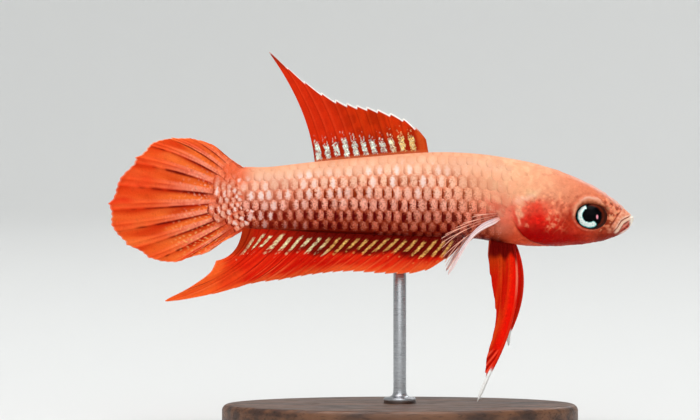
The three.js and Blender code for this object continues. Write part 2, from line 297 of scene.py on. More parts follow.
# %% [markdown]
# ## Shader groups
# Three effects come back in several finishes. Living tissue is never one even colour, so `mottle`
# shifts a colour with noise at two sizes. Its surface has fine grain, so `grain` gives a small height
# for a Bump node. `flakes`, made with the skin, adds small glinting cells. Each is a node group,
# built once and placed in each material with its own values.


# %% Shader groups
def mottle_group():
    """Mixes a colour towards a darker and a lighter one with noise at two sizes."""
    inputs = {
        "Colour": ("NodeSocketColor", (1, 1, 1, 1)),
        "Place": ("NodeSocketVector", None),
        "Scale": ("NodeSocketFloat", 900.0),
        "Dark": ("NodeSocketFloat", 0.3),
        "Light": ("NodeSocketFloat", 0.3),
    }
    group, start, end = new_group("mottle", inputs, {"Colour": "NodeSocketColor"})
    coarse = noise(group, start.outputs["Place"], start.outputs["Scale"])
    finer = maths(group, "MULTIPLY", start.outputs["Scale"], 3.7)
    fine = noise(group, start.outputs["Place"], finer, detail=4.0)
    down = maths(group, "MULTIPLY", ramp(group, coarse, 0.5, 0.75), start.outputs["Dark"])
    up = maths(group, "MULTIPLY", ramp(group, fine, 0.5, 0.78), start.outputs["Light"])
    deep = blend_colour(group, 1.0, start.outputs["Colour"], (0.55, 0.38, 0.34, 1), "MULTIPLY")
    toned = blend_colour(group, down, start.outputs["Colour"], deep)
    lit = blend_colour(group, up, toned, (1.3, 1.4, 1.4, 1), "MULTIPLY")
    group.links.new(lit, end.inputs["Colour"])
    return group


def grain_group():
    """A height from two sizes of noise, for a Bump node."""
    inputs = {"Place": ("NodeSocketVector", None), "Scale": ("NodeSocketFloat", 4000.0)}
    group, start, end = new_group("grain", inputs, {"Height": "NodeSocketFloat"})
    coarse = noise(group, start.outputs["Place"], start.outputs["Scale"], detail=2.0)
    finer = maths(group, "MULTIPLY", start.outputs["Scale"], 2.9)
    fine = noise(group, start.outputs["Place"], finer, detail=2.0)
    height = maths(group, "ADD", coarse, maths(group, "MULTIPLY", fine, 0.5))
    group.links.new(height, end.inputs["Height"])
    return group


MOTTLE = mottle_group()
GRAIN = grain_group()


def new_material(name):
    """(material, its tree, its Principled shader, the object coordinates)."""
    material = bpy.data.materials.new(name)
    material.use_nodes = True
    tree = material.node_tree
    shader = tree.nodes["Principled BSDF"]
    place = tree.nodes.new("ShaderNodeTexCoord").outputs["Object"]
    return material, tree, shader, place


def placed(tree, group, links):
    """One placing of a node group: each input is a value or the socket it's joined to."""
    return add(tree, "ShaderNodeGroup", links, node_tree=group)


def bump(tree, shader, height, distance):
    """Joins a height to the shader's normal, with the height's full size in metres."""
    links = {"Height": height, "Distance": distance, "Strength": 1.0}
    tree.links.new(add(tree, "ShaderNodeBump", links).outputs[0], shader.inputs["Normal"])


print("groups", [g.name for g in bpy.data.node_groups])

# %% [markdown]
# ## The body's form
# The body is a run of rounded cross-sections from the stump of the tail to the tip of the lower jaw.
# Each section is a superellipse, a little squarer than an oval, whose upper and lower halves differ.
# The numbers are the frame's own, so skin and solids agree; the skin lies deeper by the coat's depth,
# so that the scales on it end where the solid does.

# %% Sections of the body
SECTIONS = through(
    [  # count, place along X, back, belly, half width, height of the widest line, squareness
        [0, -22.4, 0.25, 0.25, 0, 0.25, 2.0],
        [1, -22.2, 1.7, -1.2, 0.3, 0.25, 2.0],
        [2, -21.5, 3.0, -2.5, 0.58, 0.25, 2.0],
        [3, -20.5, 3.8, -3.3, 0.82, 0.25, 2.0],
        [4, -19.0, 4.18, -3.66, 1.05, 0.25, 2.0],
        [5, -16.0, 4.22, -3.78, 1.42, 0.3, 2.0],
        [6, -10.5, 4.85, -4.08, 2.1, 0.5, 2.05],
        [7, -3.7, 5.47, -4.38, 2.8, 0.6, 2.1],
        [8, 3.7, 6.01, -4.6, 3.3, 0.6, 2.15],
        [9, 9.0, 5.88, -4.85, 3.55, 0.4, 2.2],
        [10, 13.6, 5.25, -5.55, 3.75, -0.2, 2.3],
        [11, 18.5, 4.01, -5.72, 3.6, -1.1, 2.4],
        [12, 22.2, 2.59, -5.5, 3.12, -1.7, 2.45],
        [13, 24.7, 1.3, -5.1, 2.62, -2.0, 2.4],
        [14, 26.6, -0.12, -4.5, 2.05, -2.2, 2.3],
        [15, 27.8, -1.14, -3.9, 1.5, -2.35, 2.2],
        [16, 28.5, -1.8, -3.2, 0.85, -2.4, 2.1],
        [17, 28.85, -2.4, -2.4, 0, -2.4, 2.0],
    ]
)
LAST_SECTION = 17
COAT_DEPTH = 0.12


def flesh(section, angle, grow=0.0):
    """Points of the body. Round a section, y and z are the powers 2 / squareness of the angle's
    cosine and sine, times the half width and the reach up or down. grow moves the outline out."""
    x, back, belly, half, widest, square = SECTIONS(section)
    across = np.sign(np.cos(angle)) * np.abs(np.cos(angle)) ** (2 / square)
    up = np.sign(np.sin(angle)) * np.abs(np.sin(angle)) ** (2 / square)
    reach = np.maximum(np.where(up > 0, back - widest, widest - belly) + grow, 0)
    return np.stack([x, across * np.maximum(half + grow, 0), widest + up * reach], -1)


def unit(vectors):
    """The same vectors at length 1."""
    return vectors / np.maximum(np.linalg.norm(vectors, axis=-1, keepdims=True), 1e-9)


def flesh_with_normal(section, angle, grow=0.0):
    """(points, outward normals): the normal is square to a small move round and a small move on."""
    small = 0.004
    ahead = flesh(np.minimum(section + small, LAST_SECTION), angle, grow)
    behind = flesh(np.maximum(section - small, 0), angle, grow)
    round_it = flesh(section, angle + small, grow) - flesh(section, angle - small, grow)
    return flesh(section, angle, grow), unit(np.cross(round_it, ahead - behind))


fine_sections = np.linspace(0, LAST_SECTION, 3000)
section_x = SECTIONS(fine_sections)[0]


def section_at(x):
    """Which section lies at a place along X."""
    return np.interp(x, section_x, fine_sections)


def back_at(x):
    """Height of the back's midline at a place along X."""
    return SECTIONS(section_at(x))[1]


def belly_at(x):
    """Height of the belly's midline at a place along X."""
    return SECTIONS(section_at(x))[2]


print(f"body {section_x[0]:.1f} to {section_x[-1]:.1f}, back {back_at(3.7):.2f}, belly {belly_at(3.7):.2f}")

# %% [markdown]
# ## The face's landmarks
# The mouth, the gill cover, the cheek and the eye socket are lines and spots on the side of the head.
# Each is placed once, as a path seen from the side, and used twice: once to push the skin in or out,
# once to colour it. That keeps a groove's shadow and its painted shade in the same place.

# %% Landmarks of the head
MOUTH = [
    (26.1, -4.0),
    (26.35, -3.72),
    (26.7, -3.35),
    (26.95, -2.92),
    (27.2, -2.52),
    (27.65, -2.25),
    (28.1, -2.08),
    (28.5, -1.95),
    (29.4, -1.9),
]
LIP_GROOVE = [(27.55, -0.9), (27.1, -1.35), (26.7, -1.9), (26.25, -2.65), (25.75, -3.3), (25.4, -3.75)]
JAW_GROOVE = [(28.7, -2.45), (28.0, -2.8), (27.4, -3.3), (26.9, -3.9)]
GILL_EDGE = [
    (15.9, 1.2),
    (14.6, 0.75),
    (13.9, 0.0),
    (13.75, -1.2),
    (13.9, -2.3),
    (14.3, -3.3),
    (15.0, -4.2),
    (15.95, -4.9),
    (17.3, -5.35),
    (18.5, -5.62),
    (21.0, -5.62),
]
CHEEK_EDGE = [(19.6, 1.0), (19.2, -1.0), (19.3, -2.6), (20.0, -4.0), (21.8, -4.6), (24.5, -4.5)]
LID = [
    (21.2, -2.6),
    (21.35, -1.4),
    (21.6, -0.7),
    (22.1, -0.1),
    (22.7, 0.22),
    (23.3, 0.32),
    (24.2, 0.1),
    (25.1, -0.5),
]
NOSTRILS = [(25.75, -0.62, 0.15), (26.95, -0.85, 0.1)]


def head_marks(x, y, z):
    """Signed distances and masks of the landmarks at points of the skin."""
    marks = SimpleNamespace(side=step(0.3, 1.0, np.abs(y)))
    marks.mouth, marks.mouth_share = path_distance(x, z, MOUTH)
    marks.mouth_fade = step(0.0, 0.14, marks.mouth_share)
    marks.lip_groove, share = path_distance(x, z, LIP_GROOVE)
    marks.lip_groove_fade = step(0.06, 0.25, share) * (1 - step(0.8, 1.0, share))
    marks.jaw_groove, share = path_distance(x, z, JAW_GROOVE)
    marks.jaw_groove_fade = step(0.0, 0.3, share) * (1 - step(0.7, 1.0, share))
    marks.gill, share = path_distance(x, z, GILL_EDGE)
    marks.gill_fade = step(0.2, 0.45, share) * (1 - step(0.75, 1.0, share))
    marks.cheek, share = path_distance(x, z, CHEEK_EDGE)
    marks.cheek_fade = step(0.0, 0.25, share) * (1 - step(0.8, 1.0, share))
    marks.lid, share = path_distance(x, z, LID)
    marks.lid_fade = step(0.0, 0.2, share) * (1 - step(0.85, 1.0, share))
    marks.eye = np.hypot(x - EYE_X, (z - EYE_Z) / 0.86)
    return marks


print("landmarks:", ", ".join(sorted(vars(head_marks(*np.array([[20.0], [3.0], [0.0]]))))))

# %% [markdown]
# Lips, grooves, the gill cover's free edge, the eye socket with its lid, nostrils and the small lumps
# of the snout are only tenths of a millimetre high. They could be a bump map, but light from the side
# and a close look need real relief, so each of them moves the skin's own points in or out.


# %% Relief of the face
def face_relief(x, y, z, marks):
    """How far the skin stands out from the plain form, in millimetres. A lip is a bell beside the
    mouth's line, a groove is a bell turned inwards, and the socket is a step down inside a rim."""
    upper_lip = step(0.0, 0.15, marks.mouth) * step(0.0, 0.2, marks.lip_groove) * (marks.mouth < 1.3)
    lips = 0.17 * upper_lip * marks.lip_groove_fade + 0.12 * bell(marks.mouth, -0.25, 0.18)
    slit = 0.1 * bell(marks.mouth, 0.0, 0.055)
    out = (lips - slit) * marks.mouth_fade
    out -= 0.09 * bell(marks.lip_groove, 0.02, 0.1) * marks.lip_groove_fade
    out -= 0.09 * bell(marks.jaw_groove, 0.0, 0.14) * marks.jaw_groove_fade
    flap = step(-0.06, 0.05, marks.gill) * (1 - step(0.3, 2.4, marks.gill))
    out += (0.1 * flap - 0.03 * bell(marks.gill, -0.2, 0.16)) * marks.gill_fade
    out -= 0.06 * bell(marks.cheek, 0.0, 0.2) * marks.cheek_fade
    socket = (1 - step(1.54, 1.84, marks.eye)) * marks.side
    out -= 1.1 * socket
    out += 0.16 * bell(marks.lid, 0.0, 0.3) * marks.lid_fade * (1 - socket)
    out += 0.07 * bell(marks.eye, 2.05, 0.14) * marks.side * (1 - marks.lid_fade)
    out -= 0.07 * bell(marks.lid, 0.5, 0.2) * marks.lid_fade
    for nostril_x, nostril_z, size in NOSTRILS:
        away = np.hypot(x - nostril_x, z - nostril_z)
        out += (0.07 * bell(away, 1.5 * size, 0.6 * size) - 0.2 * bell(away, 0, 0.8 * size)) * marks.side
    face = step(12.5, 15.0, x) * (1 - 0.7 * step(27.0, 28.2, x))
    cheek = face * (1 - step(-0.5, 1.5, z))
    out += 0.02 * face * ripple(11, 1.1, x, y, z) + 0.016 * cheek * ripple(12, 0.42, x, y, z)
    lumpy = face * step(24.4, 25.4, x) * step(2.0, 2.2, marks.eye)
    lumpy = lumpy * (1 - upper_lip) * (marks.mouth > 0.9)
    out += 0.07 * lumpy * step(-0.2, 0.8, ripple(38, 0.8, x, y, z))
    throat = step(15, 17, x) * (1 - step(23, 25, x)) * (1 - step(1.2, 2.0, np.abs(y))) * (z < -3)
    out -= 0.05 * throat * (0.5 + 0.5 * np.cos(2 * np.pi * np.abs(y) / 0.62))
    return out


eye_place = [np.array([value]) for value in (EYE_X, 3.0, EYE_Z)]
print("depth of the eye socket:", face_relief(*eye_place, head_marks(*eye_place)).round(2))

# %% [markdown]
# ## The markings
# The back is washed with peach, the flanks are salmon, and belly, cheek and throat are deep red. An
# image could carry this, but a formula of the place gives both sides the same markings, at any
# closeness. Skin and scales must agree, so one function gives the pale, middle and dark tones of
# both. They blend by height between the belly's line and the back's, with soft random borders. This
# change with height is partly the fish's own colour and partly painted light from above, which
# lightens the back and darkens the belly.


# %% Tones of the trunk
def place_on_side(x, z):
    """0 on the belly's midline, 1 on the back's."""
    return (z - belly_at(x)) / np.maximum(back_at(x) - belly_at(x), 0.1)


def coat_strength(x, y, z):
    """How much the scales stand out: fully on the flank, hardly on the back and behind the head."""
    height = place_on_side(x, z) + 0.02 * ripple(20, 2.4, x, y, z)
    upper = 1 - 0.9 * step(0.52, 0.92, height)
    rear = 1 - 0.45 * step(-9, -16, x) * step(0.3, 0.5, height)
    front = 1 - 0.95 * step(mix(6.5, 3.5, step(0.25, 0.7, height)), 13.0, x)
    return upper * front * rear


# The tones' rise from belly to back is partly painted light from above: lighter on top, darker below.
COAT_TONES = through(
    [  # height on the side, then the pale, middle and dark tones as display values
        [0.0, 128, 22, 8, 104, 12, 2, 66, 0, 0],
        [0.06, 156, 54, 30, 124, 26, 10, 84, 0, 0],
        [0.13, 200, 94, 66, 146, 44, 20, 98, 0, 0],
        [0.25, 226, 128, 102, 170, 66, 38, 98, 0, 0],
        [0.38, 250, 164, 140, 204, 100, 72, 100, 10, 0],
        [0.52, 254, 176, 150, 228, 126, 94, 132, 36, 6],
        [0.7, 254, 192, 162, 238, 146, 112, 176, 80, 46],
        [0.83, 254, 200, 170, 241, 156, 120, 216, 128, 90],
        [1.0, 244, 170, 130, 240, 160, 120, 230, 146, 106],
    ]
)


def coat_tones(x, y, z):
    """The pale, middle and dark tones of skin and scales. Pale is the pearly middle of a scale, dark
    is the crevice at its rear edge, its pigment and painted shade. All go from deep red at the belly
    over pink to peach at the back, partly the fish's own colours and partly painted light from above,
    which darkens the belly and lightens the back. Contrast falls behind the head, where all turn
    warmer, and at the tail's base."""
    height = place_on_side(x, z) + 0.02 * ripple(21, 2.2, x, y, z)
    height = height + 0.2 * step(-4, 3, x) * np.clip(height * (1 - height), 0, 1)
    pale, middle, dark = [colour(*COAT_TONES(height)[i : i + 3]) for i in (0, 3, 6)]
    up = step(0.25, 0.65, height)
    rear = step(-9, -15, x)
    below_back = rear * (1 - step(0.7, 0.9, height))
    dark = paint(dark, paint(colour(120, 14, 0), colour(206, 100, 68), up), 0.9 * below_back)
    middle = paint(middle, paint(colour(160, 56, 30), colour(236, 142, 112), up), 0.8 * below_back)
    front = step(3.5, 11.0, x) * step(0.12, 0.3, height) * (1 - step(0.75, 0.95, height))
    pale = paint(pale, paint(colour(246, 140, 112), colour(251, 174, 134), up), 0.9 * front)
    middle = paint(middle, paint(colour(224, 108, 80), colour(240, 154, 116), up), 0.9 * front)
    dark = paint(dark, paint(colour(140, 50, 30), colour(192, 104, 70), up), 0.85 * front)
    flush = bell(np.hypot((x - 11.8) / 2.6, (z + 0.9) / 1.5), 0, 1)
    flush = flush * step(-0.8, 0.3, ripple(24, 0.9, x, y, z))
    pale = paint(pale, colour(238, 104, 78), 0.75 * flush)
    middle = paint(middle, colour(228, 88, 64), 0.75 * flush)
    root = 0.9 * step(-17.2, -19.4, x) * step(1.0, 2.8, z)
    pale = paint(pale, colour(246, 140, 100), root)
    middle = paint(middle, colour(240, 122, 84), root)
    return pale, middle, paint(dark, colour(228, 104, 70), root)


probe = np.array([-16.0, 0.0, 17.0])
print("pale tone at three places", coat_tones(probe, 0 * probe - 2, 0 * probe)[0].round(2).tolist())

# %% [markdown]
# The head is painted like a miniature: first the broad colours with frayed borders, then each part
# over them, then spots and flecks. Every layer is a colour and an amount for each point of the skin,
# so a later one hides an earlier one only where its amount says so.


# %% Broad colours of the head
def spots(x, z, places):
    """The strongest of several round spots, given as (x, z, radius)."""
    total = np.zeros(np.shape(x))
    for spot_x, spot_z, size in places:
        total = np.maximum(total, 1 - step(0.5, 1.1, np.hypot(x - spot_x, z - spot_z) / size))
    return total


# Spots before the eye: the first two are painted highlights, the rest the skin's own pale spots.
BEFORE_EYE = [
    (26.64, -1.49, 0.24),
    (25.95, -2.0, 0.22),
    (25.5, -1.05, 0.28),
    (25.85, -2.8, 0.17),
    (24.65, -3.65, 0.18),
    (26.2, -0.8, 0.2),
    (25.7, -0.3, 0.2),
]
CHEEK_BLOBS = [
    (18.2, -2.2, 0.32),
    (19.3, -2.35, 0.26),
    (18.75, -3.0, 0.3),
    (18.1, -3.2, 0.3),
    (18.35, -1.55, 0.26),
    (19.2, -1.4, 0.3),
    (19.6, -0.15, 0.42),
    (20.3, -0.5, 0.3),
    (18.9, -0.3, 0.3),
    (15.5, -3.0, 0.26),
]


def face_tones(x, y, z):
    """The head's broad colours: peach above, a red cheek, deep red below, brown in front of the eye,
    with frayed borders between them. Lighter above and darker below is partly the head's own colour
    and partly painted light from above."""
    wave = 0.22 * ripple(31, 1.6, x, y, z) + 0.12 * ripple(32, 0.5, x, y, z)
    peach = paint(colour(246, 172, 132), colour(228, 128, 92), step(15, 24, x + 2.0 * wave))
    red = paint(colour(222, 54, 36), colour(196, 92, 58), step(19.5, 25.5, x))
    deep = paint(colour(172, 4, 0), colour(192, 64, 38), step(20.5, 24.5, x))
    line = mix(0.1, -0.7, step(15, 21, x)) + 1.2 * wave
    face = paint(deep, red, step(-4.6, -2.6, z + 1.4 * wave))
    face = paint(face, colour(238, 132, 98), step(-1.4, -0.3, z - line + 0.6))
    face = paint(face, peach, step(-0.2, 0.8, z - line))
    cheek = bell(np.hypot((x - 17.1) / 1.6, (z + 2.3) / 2.0) + 0.6 * wave, 0, 1)
    face = paint(face, colour(230, 24, 14), 0.88 * cheek)
    under_cheek = bell(np.hypot((x - 16.9) / 3.0, (z + 4.1) / 0.95) + 0.5 * wave, 0, 1)
    face = paint(face, colour(166, 0, 0), under_cheek)
    throat = (1 - step(-5.5, -4.9, z)) * step(16, 18, x) * (1 - step(22, 24, x))
    face = paint(face, colour(146, 22, 10), 0.7 * throat)
    behind_eye = bell(np.hypot((x - 21.0) / 1.5, (z + 2.0) / 1.7) + wave, 0, 1)
    face = paint(face, colour(178, 46, 20), 0.95 * behind_eye)
    blush = bell(np.hypot((x - 16.3) / 1.5, (z + 0.8) / 0.8) + 1.2 * wave, 0, 1)
    return paint(face, colour(234, 62, 42), 0.75 * blush)


print("cheek", face_tones(*np.array([[17.1], [3.4], [-2.3]])).round(2).tolist())

# %% [markdown]
# The gill cover, the lips and the eye socket have edges of their own. Their colours read the same
# landmarks as the relief does, so that each crease gets painted shade where it is deep, and each rim
# is pale.


# %% Colours along the landmarks
def paint_gill(face, x, y, z, marks):
    """The pale patches behind the cheek, and the breast behind the gill cover's lower edge."""
    wave = 0.3 * ripple(34, 0.9, x, y, z)
    band = bell(x, 14.6 + wave, 0.38) * step(-3.3, -2.4, z) * (1 - step(-0.4, 0.6, z))
    face = paint(face, colour(246, 170, 134), 0.8 * band)
    streak = bell(z - 0.3 * (x - 15) - 0.4 * wave, 0.25, 0.3) * step(13.3, 14.2, x) * (1 - step(16, 17, x))
    face = paint(face, colour(254, 196, 170), 0.7 * streak)
    front = bell(np.hypot((x - 15.9) / 0.6, (z - 0.9) / 0.5) + wave, 0, 1)
    face = paint(face, colour(253, 208, 158), 0.6 * front)
    breast = paint(colour(218, 80, 48), colour(230, 98, 64), step(-4.4, -2.9, z + wave))
    breast = paint(breast, colour(243, 112, 88), step(-2.9, -1.8, z + wave))
    breast = paint(breast, colour(250, 164, 122), step(-0.9, 0.6, z + 1.6 * wave))
    soft = mix(0.9, 0.05, marks.gill_fade)
    on_head = step(-soft, soft, marks.gill)
    low_edge = step(12.0, 13.4, x) * (1 - step(0.0, 1.2, z + wave))
    face = paint(face, paint(face, breast, low_edge), 1 - on_head)
    # Painted shade in the crease under the gill cover's lower free edge.
    crease = bell(marks.gill, 0.02, 0.12) * marks.gill_fade * (1 - step(-3.4, -2.4, z))
    return paint(face, colour(130, 8, 2), 0.6 * crease)


def paint_lips(face, x, z, marks):
    """Salmon upper lip with a painted highlight along the mouth, cream lower lip, and a mottled red
    jaw with a painted pink highlight and a pale rim. The chin is darker, partly painted shade under
    the head, and the slit and the lip's groove are painted dark as their shade."""
    lumps = ripple(40, 0.5, x, z)
    above = step(0.0, 0.06, marks.mouth) * step(-0.02, 0.1, marks.lip_groove)
    lip = above * step(0.05, 0.2, marks.mouth_share) * (marks.mouth < 1.3)
    salmon = paint(colour(230, 142, 110), colour(246, 170, 138), step(-0.6, 0.8, lumps))
    face = paint(face, salmon, 0.97 * lip)
    # Painted highlight along the upper lip, beside the mouth.
    face = paint(face, colour(254, 204, 178), 0.75 * lip * bell(marks.mouth, 0.17, 0.1))
    knob = 1 - step(0.1, 0.5, np.hypot(x - 25.8, z + 3.7) + 0.15 * lumps)
    face = paint(face, colour(236, 152, 118), 0.7 * knob)
    jaw = step(0.2, 0.32, -marks.mouth) * step(26.2, 26.8, x) * (marks.mouth_share > 0.03)
    face = paint(face, paint(colour(124, 12, 4), colour(204, 74, 50), step(0.0, 1.0, lumps)), 0.9 * jaw)
    # Painted highlight: a pink streak on the side of the lower jaw.
    pink = jaw * bell(np.hypot((x - 27.75) / 0.7, (z + 3.1 - 0.85 * (x - 27.75)) / 0.16), 0, 1)
    face = paint(face, colour(240, 150, 130), 0.85 * pink)
    # The chin's darker red: partly its own colour, partly painted shade under the head.
    face = paint(face, colour(132, 32, 12), 0.85 * (1 - step(-4.3, -3.5, z)) * step(22.8, 24.8, x))
    rim = (1 - step(0.2, 0.4, z - belly_at(x))) * step(26.6, 27.5, x)
    face = paint(face, colour(244, 206, 194), 0.95 * rim)
    lower_lip = bell(marks.mouth, -0.22, 0.17) * marks.mouth_fade
    face = paint(face, colour(250, 210, 184), 0.95 * np.clip(1.5 * lower_lip, 0, 1))
    # Painted shade in the mouth's slit.
    face = paint(face, colour(140, 54, 34), 0.9 * bell(marks.mouth, 0.0, 0.05) * marks.mouth_fade)
    # Painted shade in the groove above the upper lip.
    groove = bell(marks.lip_groove, 0.02, 0.08) * marks.lip_groove_fade
    face = paint(face, colour(150, 62, 38), 0.7 * groove)
    return paint(face, colour(255, 240, 224), step(28.15, 28.5, x) * (marks.mouth < 0.08))


def paint_socket(face, x, y, z, marks):
    """The pale lid over the eye with a painted highlight on its top, its painted brown shadow, and the
    socket's edge painted dark as shade.
    """
    wave = 0.05 * ripple(35, 0.5, x, y, z)
    # Painted shadow under the lid: brown near the eye, paler further out.
    inner = (1 - step(1.95, 2.75, marks.eye)) * marks.side * step(-1.6, -0.8, z)
    brown = paint(colour(124, 58, 32), colour(222, 144, 104), step(1.95, 2.35, marks.eye + wave))
    face = paint(face, brown, 0.85 * inner)
    lid = bell(marks.lid + wave, 0.02, 0.18) * marks.lid_fade * marks.side
    face = paint(face, colour(240, 162, 128), 0.8 * lid)
    # Painted highlight on the top of the lid.
    face = paint(face, colour(236, 190, 174), 0.5 * lid * step(-0.3, 0.4, z))
    under = bell(marks.eye, 2.0, 0.12) * (1 - step(-2.6, -2.0, z)) * marks.side
    face = paint(face, colour(214, 110, 84), 0.7 * under)
    from_corner = np.hypot((x - 24.95) / 0.95, (z + 1.3) / 1.15) + 1.5 * wave
    face = paint(face, colour(98, 26, 10), 0.9 * (1 - step(0.4, 1.0, from_corner)) * marks.side)
    # Painted shade: the skin at the socket's edge, round the eye, is painted near black.
    return paint(face, colour(52, 16, 10), (1 - step(1.66, 1.86, marks.eye)) * marks.side)


lid = np.array([[22.6], [3.1], [0.3]])
print("over the eye", paint_socket(face_tones(*lid), *lid, head_marks(*lid)).round(2).tolist())

# %% [markdown]
# The whole skin's colour joins the trunk's tones to the head's layers just behind the gill cover.
# Small blotches, veins and pale spots go in between the broad colours and the parts with edges.


# %% Colour of the whole skin
def skin_tint(x, y, z, marks):
    """The skin's colour: the body's own between the scales, and on the head the face's parts."""
    height = place_on_side(x, z)
    pale, middle = coat_tones(x, y, z)[:2]
    body = paint(pale, middle, 0.3 + 0.6 * coat_strength(x, y, z))
    # Painted shade: a near-black band along the belly's midline, where the underside lies in shadow.
    body = paint(body, colour(84, 6, 0), (1 - step(0.02, 0.07, height)) * step(-16, -11, x))
    stump = paint(colour(216, 76, 44), colour(242, 116, 76), step(0.3, 0.7, height))
    body = paint(body, stump, step(-18.5, -20.0, x + 0.3 * ripple(33, 1.2, x, y, z)))
    face = face_tones(x, y, z)
    blotch = step(0.1, 0.8, ripple(43, 1.3, x, y, z))
    blotch = blotch * step(-1.0, 0.4, z) * step(8, 10, x) * (1 - step(17, 20, x))
    body, face = [paint(part, colour(255, 202, 158), 0.4 * blotch) for part in (body, face)]
    fray = ripple(36, 0.5, x, y, z)
    net = bell(ripple(41, 0.95, x, y, z) + 0.3 * fray, 0.0, 0.3)
    net = net * (1 - step(-0.6, 0.8, z)) * step(-4.4, -3.2, z)
    face = paint(face, colour(244, 134, 92), 0.45 * net * step(17.3, 18.5, x) * (1 - step(19.6, 21.0, x)))
    blobs = spots(x + 0.12 * fray, z + 0.12 * ripple(42, 0.5, x, y, z), CHEEK_BLOBS)
    face = paint(face, colour(246, 142, 106), 0.7 * blobs)
    veins = step(0.3, 0.8, ripple(37, 0.7, x, y, z)) * (1 - step(0.0, 1.4, z)) * step(15, 16, x)
    face = paint(face, colour(170, 34, 16), 0.35 * veins)
    snout = step(24.2, 25.2, x) * step(2.0, 2.25, marks.eye)
    lumps = ripple(38, 0.8, x, y, z) + 0.25 * fray
    face = paint(face, colour(238, 150, 112), 0.75 * snout * step(0.0, 0.5, lumps) * step(-3.6, -3.0, z))
    face = paint(face, colour(138, 48, 26), 0.8 * snout * step(0.0, 0.7, -lumps) * (1 - step(-0.4, 0.4, z)))
    # Pale spots before the eye, the first two of them painted highlights.
    face = paint(face, colour(248, 180, 136), 0.5 * spots(x + 0.16 * fray, z + 0.1 * lumps, BEFORE_EYE))
    # Painted highlight on the top of the snout.
    face = paint(face, colour(212, 146, 132), 0.5 * step(-0.9, -0.2, z - back_at(x)) * step(23.5, 25, x))
    face = paint_gill(face, x, y, z, marks)
    # Painted highlight: a pale band along the top of the head, lit from above.
    face = paint(face, colour(232, 180, 166), step(-0.5, -0.05, z - back_at(x)) * step(19.5, 23, x))
    face = paint_lips(face, x, z, marks)
    face = paint_socket(face, x, y, z, marks)
    return paint(body, face, step(12.2, 14.4, x + 0.3 * ripple(39, 1.3, x, y, z)))


nape = np.array([[15.0], [2.5], [2.0]])
print("skin at the nape", skin_tint(*nape, head_marks(*nape)).round(2).tolist())

# %% [markdown]
# ## The skin's finish
# A fish's skin is thin, clear and full of tiny flakes that glint or darken by turns. Here `flakes`
# varies the painted tint cell by cell, `mottle` adds softer blotches, and a little light goes in and
# comes out again a short way off. The sheen is kept low, so that the deep reds stay deep.


# %% Skin finish
def flake_group():
    """Lightens and darkens a colour in small irregular cells, as thin skin over tiny flakes does."""
    inputs = {
        "Colour": ("NodeSocketColor", (1, 1, 1, 1)),
        "Place": ("NodeSocketVector", None),
        "Scale": ("NodeSocketFloat", 3000.0),
        "Amount": ("NodeSocketFloat", 0.5),
    }
    outputs = {"Colour": "NodeSocketColor", "Edge": "NodeSocketFloat"}
    group, start, end = new_group("flakes", inputs, outputs)
    links = {"Vector": start.outputs["Place"], "Scale": start.outputs["Scale"], "Smoothness": 0.6}
    cells = add(group, "ShaderNodeTexVoronoi", links, feature="SMOOTH_F1")
    tone = add(group, "ShaderNodeSeparateColor", {0: cells.outputs["Color"]}).outputs[0]
    colour_in, amount = start.outputs["Colour"], start.outputs["Amount"]
    light = maths(group, "MULTIPLY", ramp(group, tone, 0.6, 1.0), amount)
    dark = maths(group, "MULTIPLY", ramp(group, tone, 0.4, 0.0), amount)
    bright = blend_colour(group, 1.0, colour_in, (1.5, 1.9, 1.9, 1), "MULTIPLY")
    lit = blend_colour(group, light, colour_in, bright)
    deep = blend_colour(group, 1.0, colour_in, (0.6, 0.4, 0.4, 1), "MULTIPLY")
    group.links.new(blend_colour(group, dark, lit, deep), end.inputs["Colour"])
    group.links.new(cells.outputs["Distance"], end.inputs["Edge"])
    return group


FLAKES = flake_group()


def skin_material():
    """Skin: the marking's colour in flakes and mottling, a soft glow under it, and a faint sheen."""
    material, tree, shader, place = new_material("skin")
    tint, grit = field(tree, "tint"), field(tree, "grit", "Fac")
    flakes = placed(tree, FLAKES, {"Colour": tint, "Place": place, "Scale": 2600.0, "Amount": grit})
    links = {"Colour": flakes.outputs[0], "Place": place, "Scale": 1500.0, "Dark": 0.2, "Light": 0.3}
    looks = {
        "Base Color": placed(tree, MOTTLE, links).outputs[0],
        "Roughness": ramp(tree, noise(tree, place, 2500.0), 0.35, 0.7, 0.3, 0.5),
        "Subsurface Weight": 0.08,
        "Subsurface Radius": (1.0, 0.3, 0.15),
        "Subsurface Scale": 0.0003,
        "Specular IOR Level": 0.03,
        "Coat Weight": 0.02,
        "Coat Roughness": 0.2,
    }
    join(tree, shader, looks)
    grain = placed(tree, GRAIN, {"Place": place, "Scale": 5200.0}).outputs[0]
    flaky = maths(tree, "MULTIPLY", flakes.outputs[1], maths(tree, "MULTIPLY", grit, 1.2))
    bump(tree, shader, maths(tree, "SUBTRACT", grain, flaky), 0.00006)
    return material


SKIN = skin_material()
print("skin finish of", len(SKIN.node_tree.nodes), "nodes")

# %% [markdown]
# ## The skin
# One surface covers the whole body, so no seam shows: 330 rings of 300 points, closed at both ends by
# a pole. Most rings lie on the head, and the points of a ring crowd on the sides, where eye, lips and
# gill cover are. It could have been sculpted, but as formulas the landmarks stay easy to move.

# %% Skin surface
BODY_RINGS = 80
HEAD_RINGS = 250
SKIN_ROUND = 300
FLESH_NODES = ["head", "lower_jaw", "gill_cover_left", "gill_cover_right"]
FLESH_NODES += ["trunk_front", "trunk_rear", "tail_base"]


def coat_depth(x):
    """How deep the skin lies: the coat's depth on the body, almost nothing on the face."""
    return mix(COAT_DEPTH, 0.02, step(13, 17, x))


def body_grid(sections, angles, extra=0.0):
    """Skin points on a grid, sunk by the coat's depth, with the normals to push them along."""
    depth = coat_depth(SECTIONS(sections)[0])
    return flesh_with_normal(sections, angles, extra - depth)


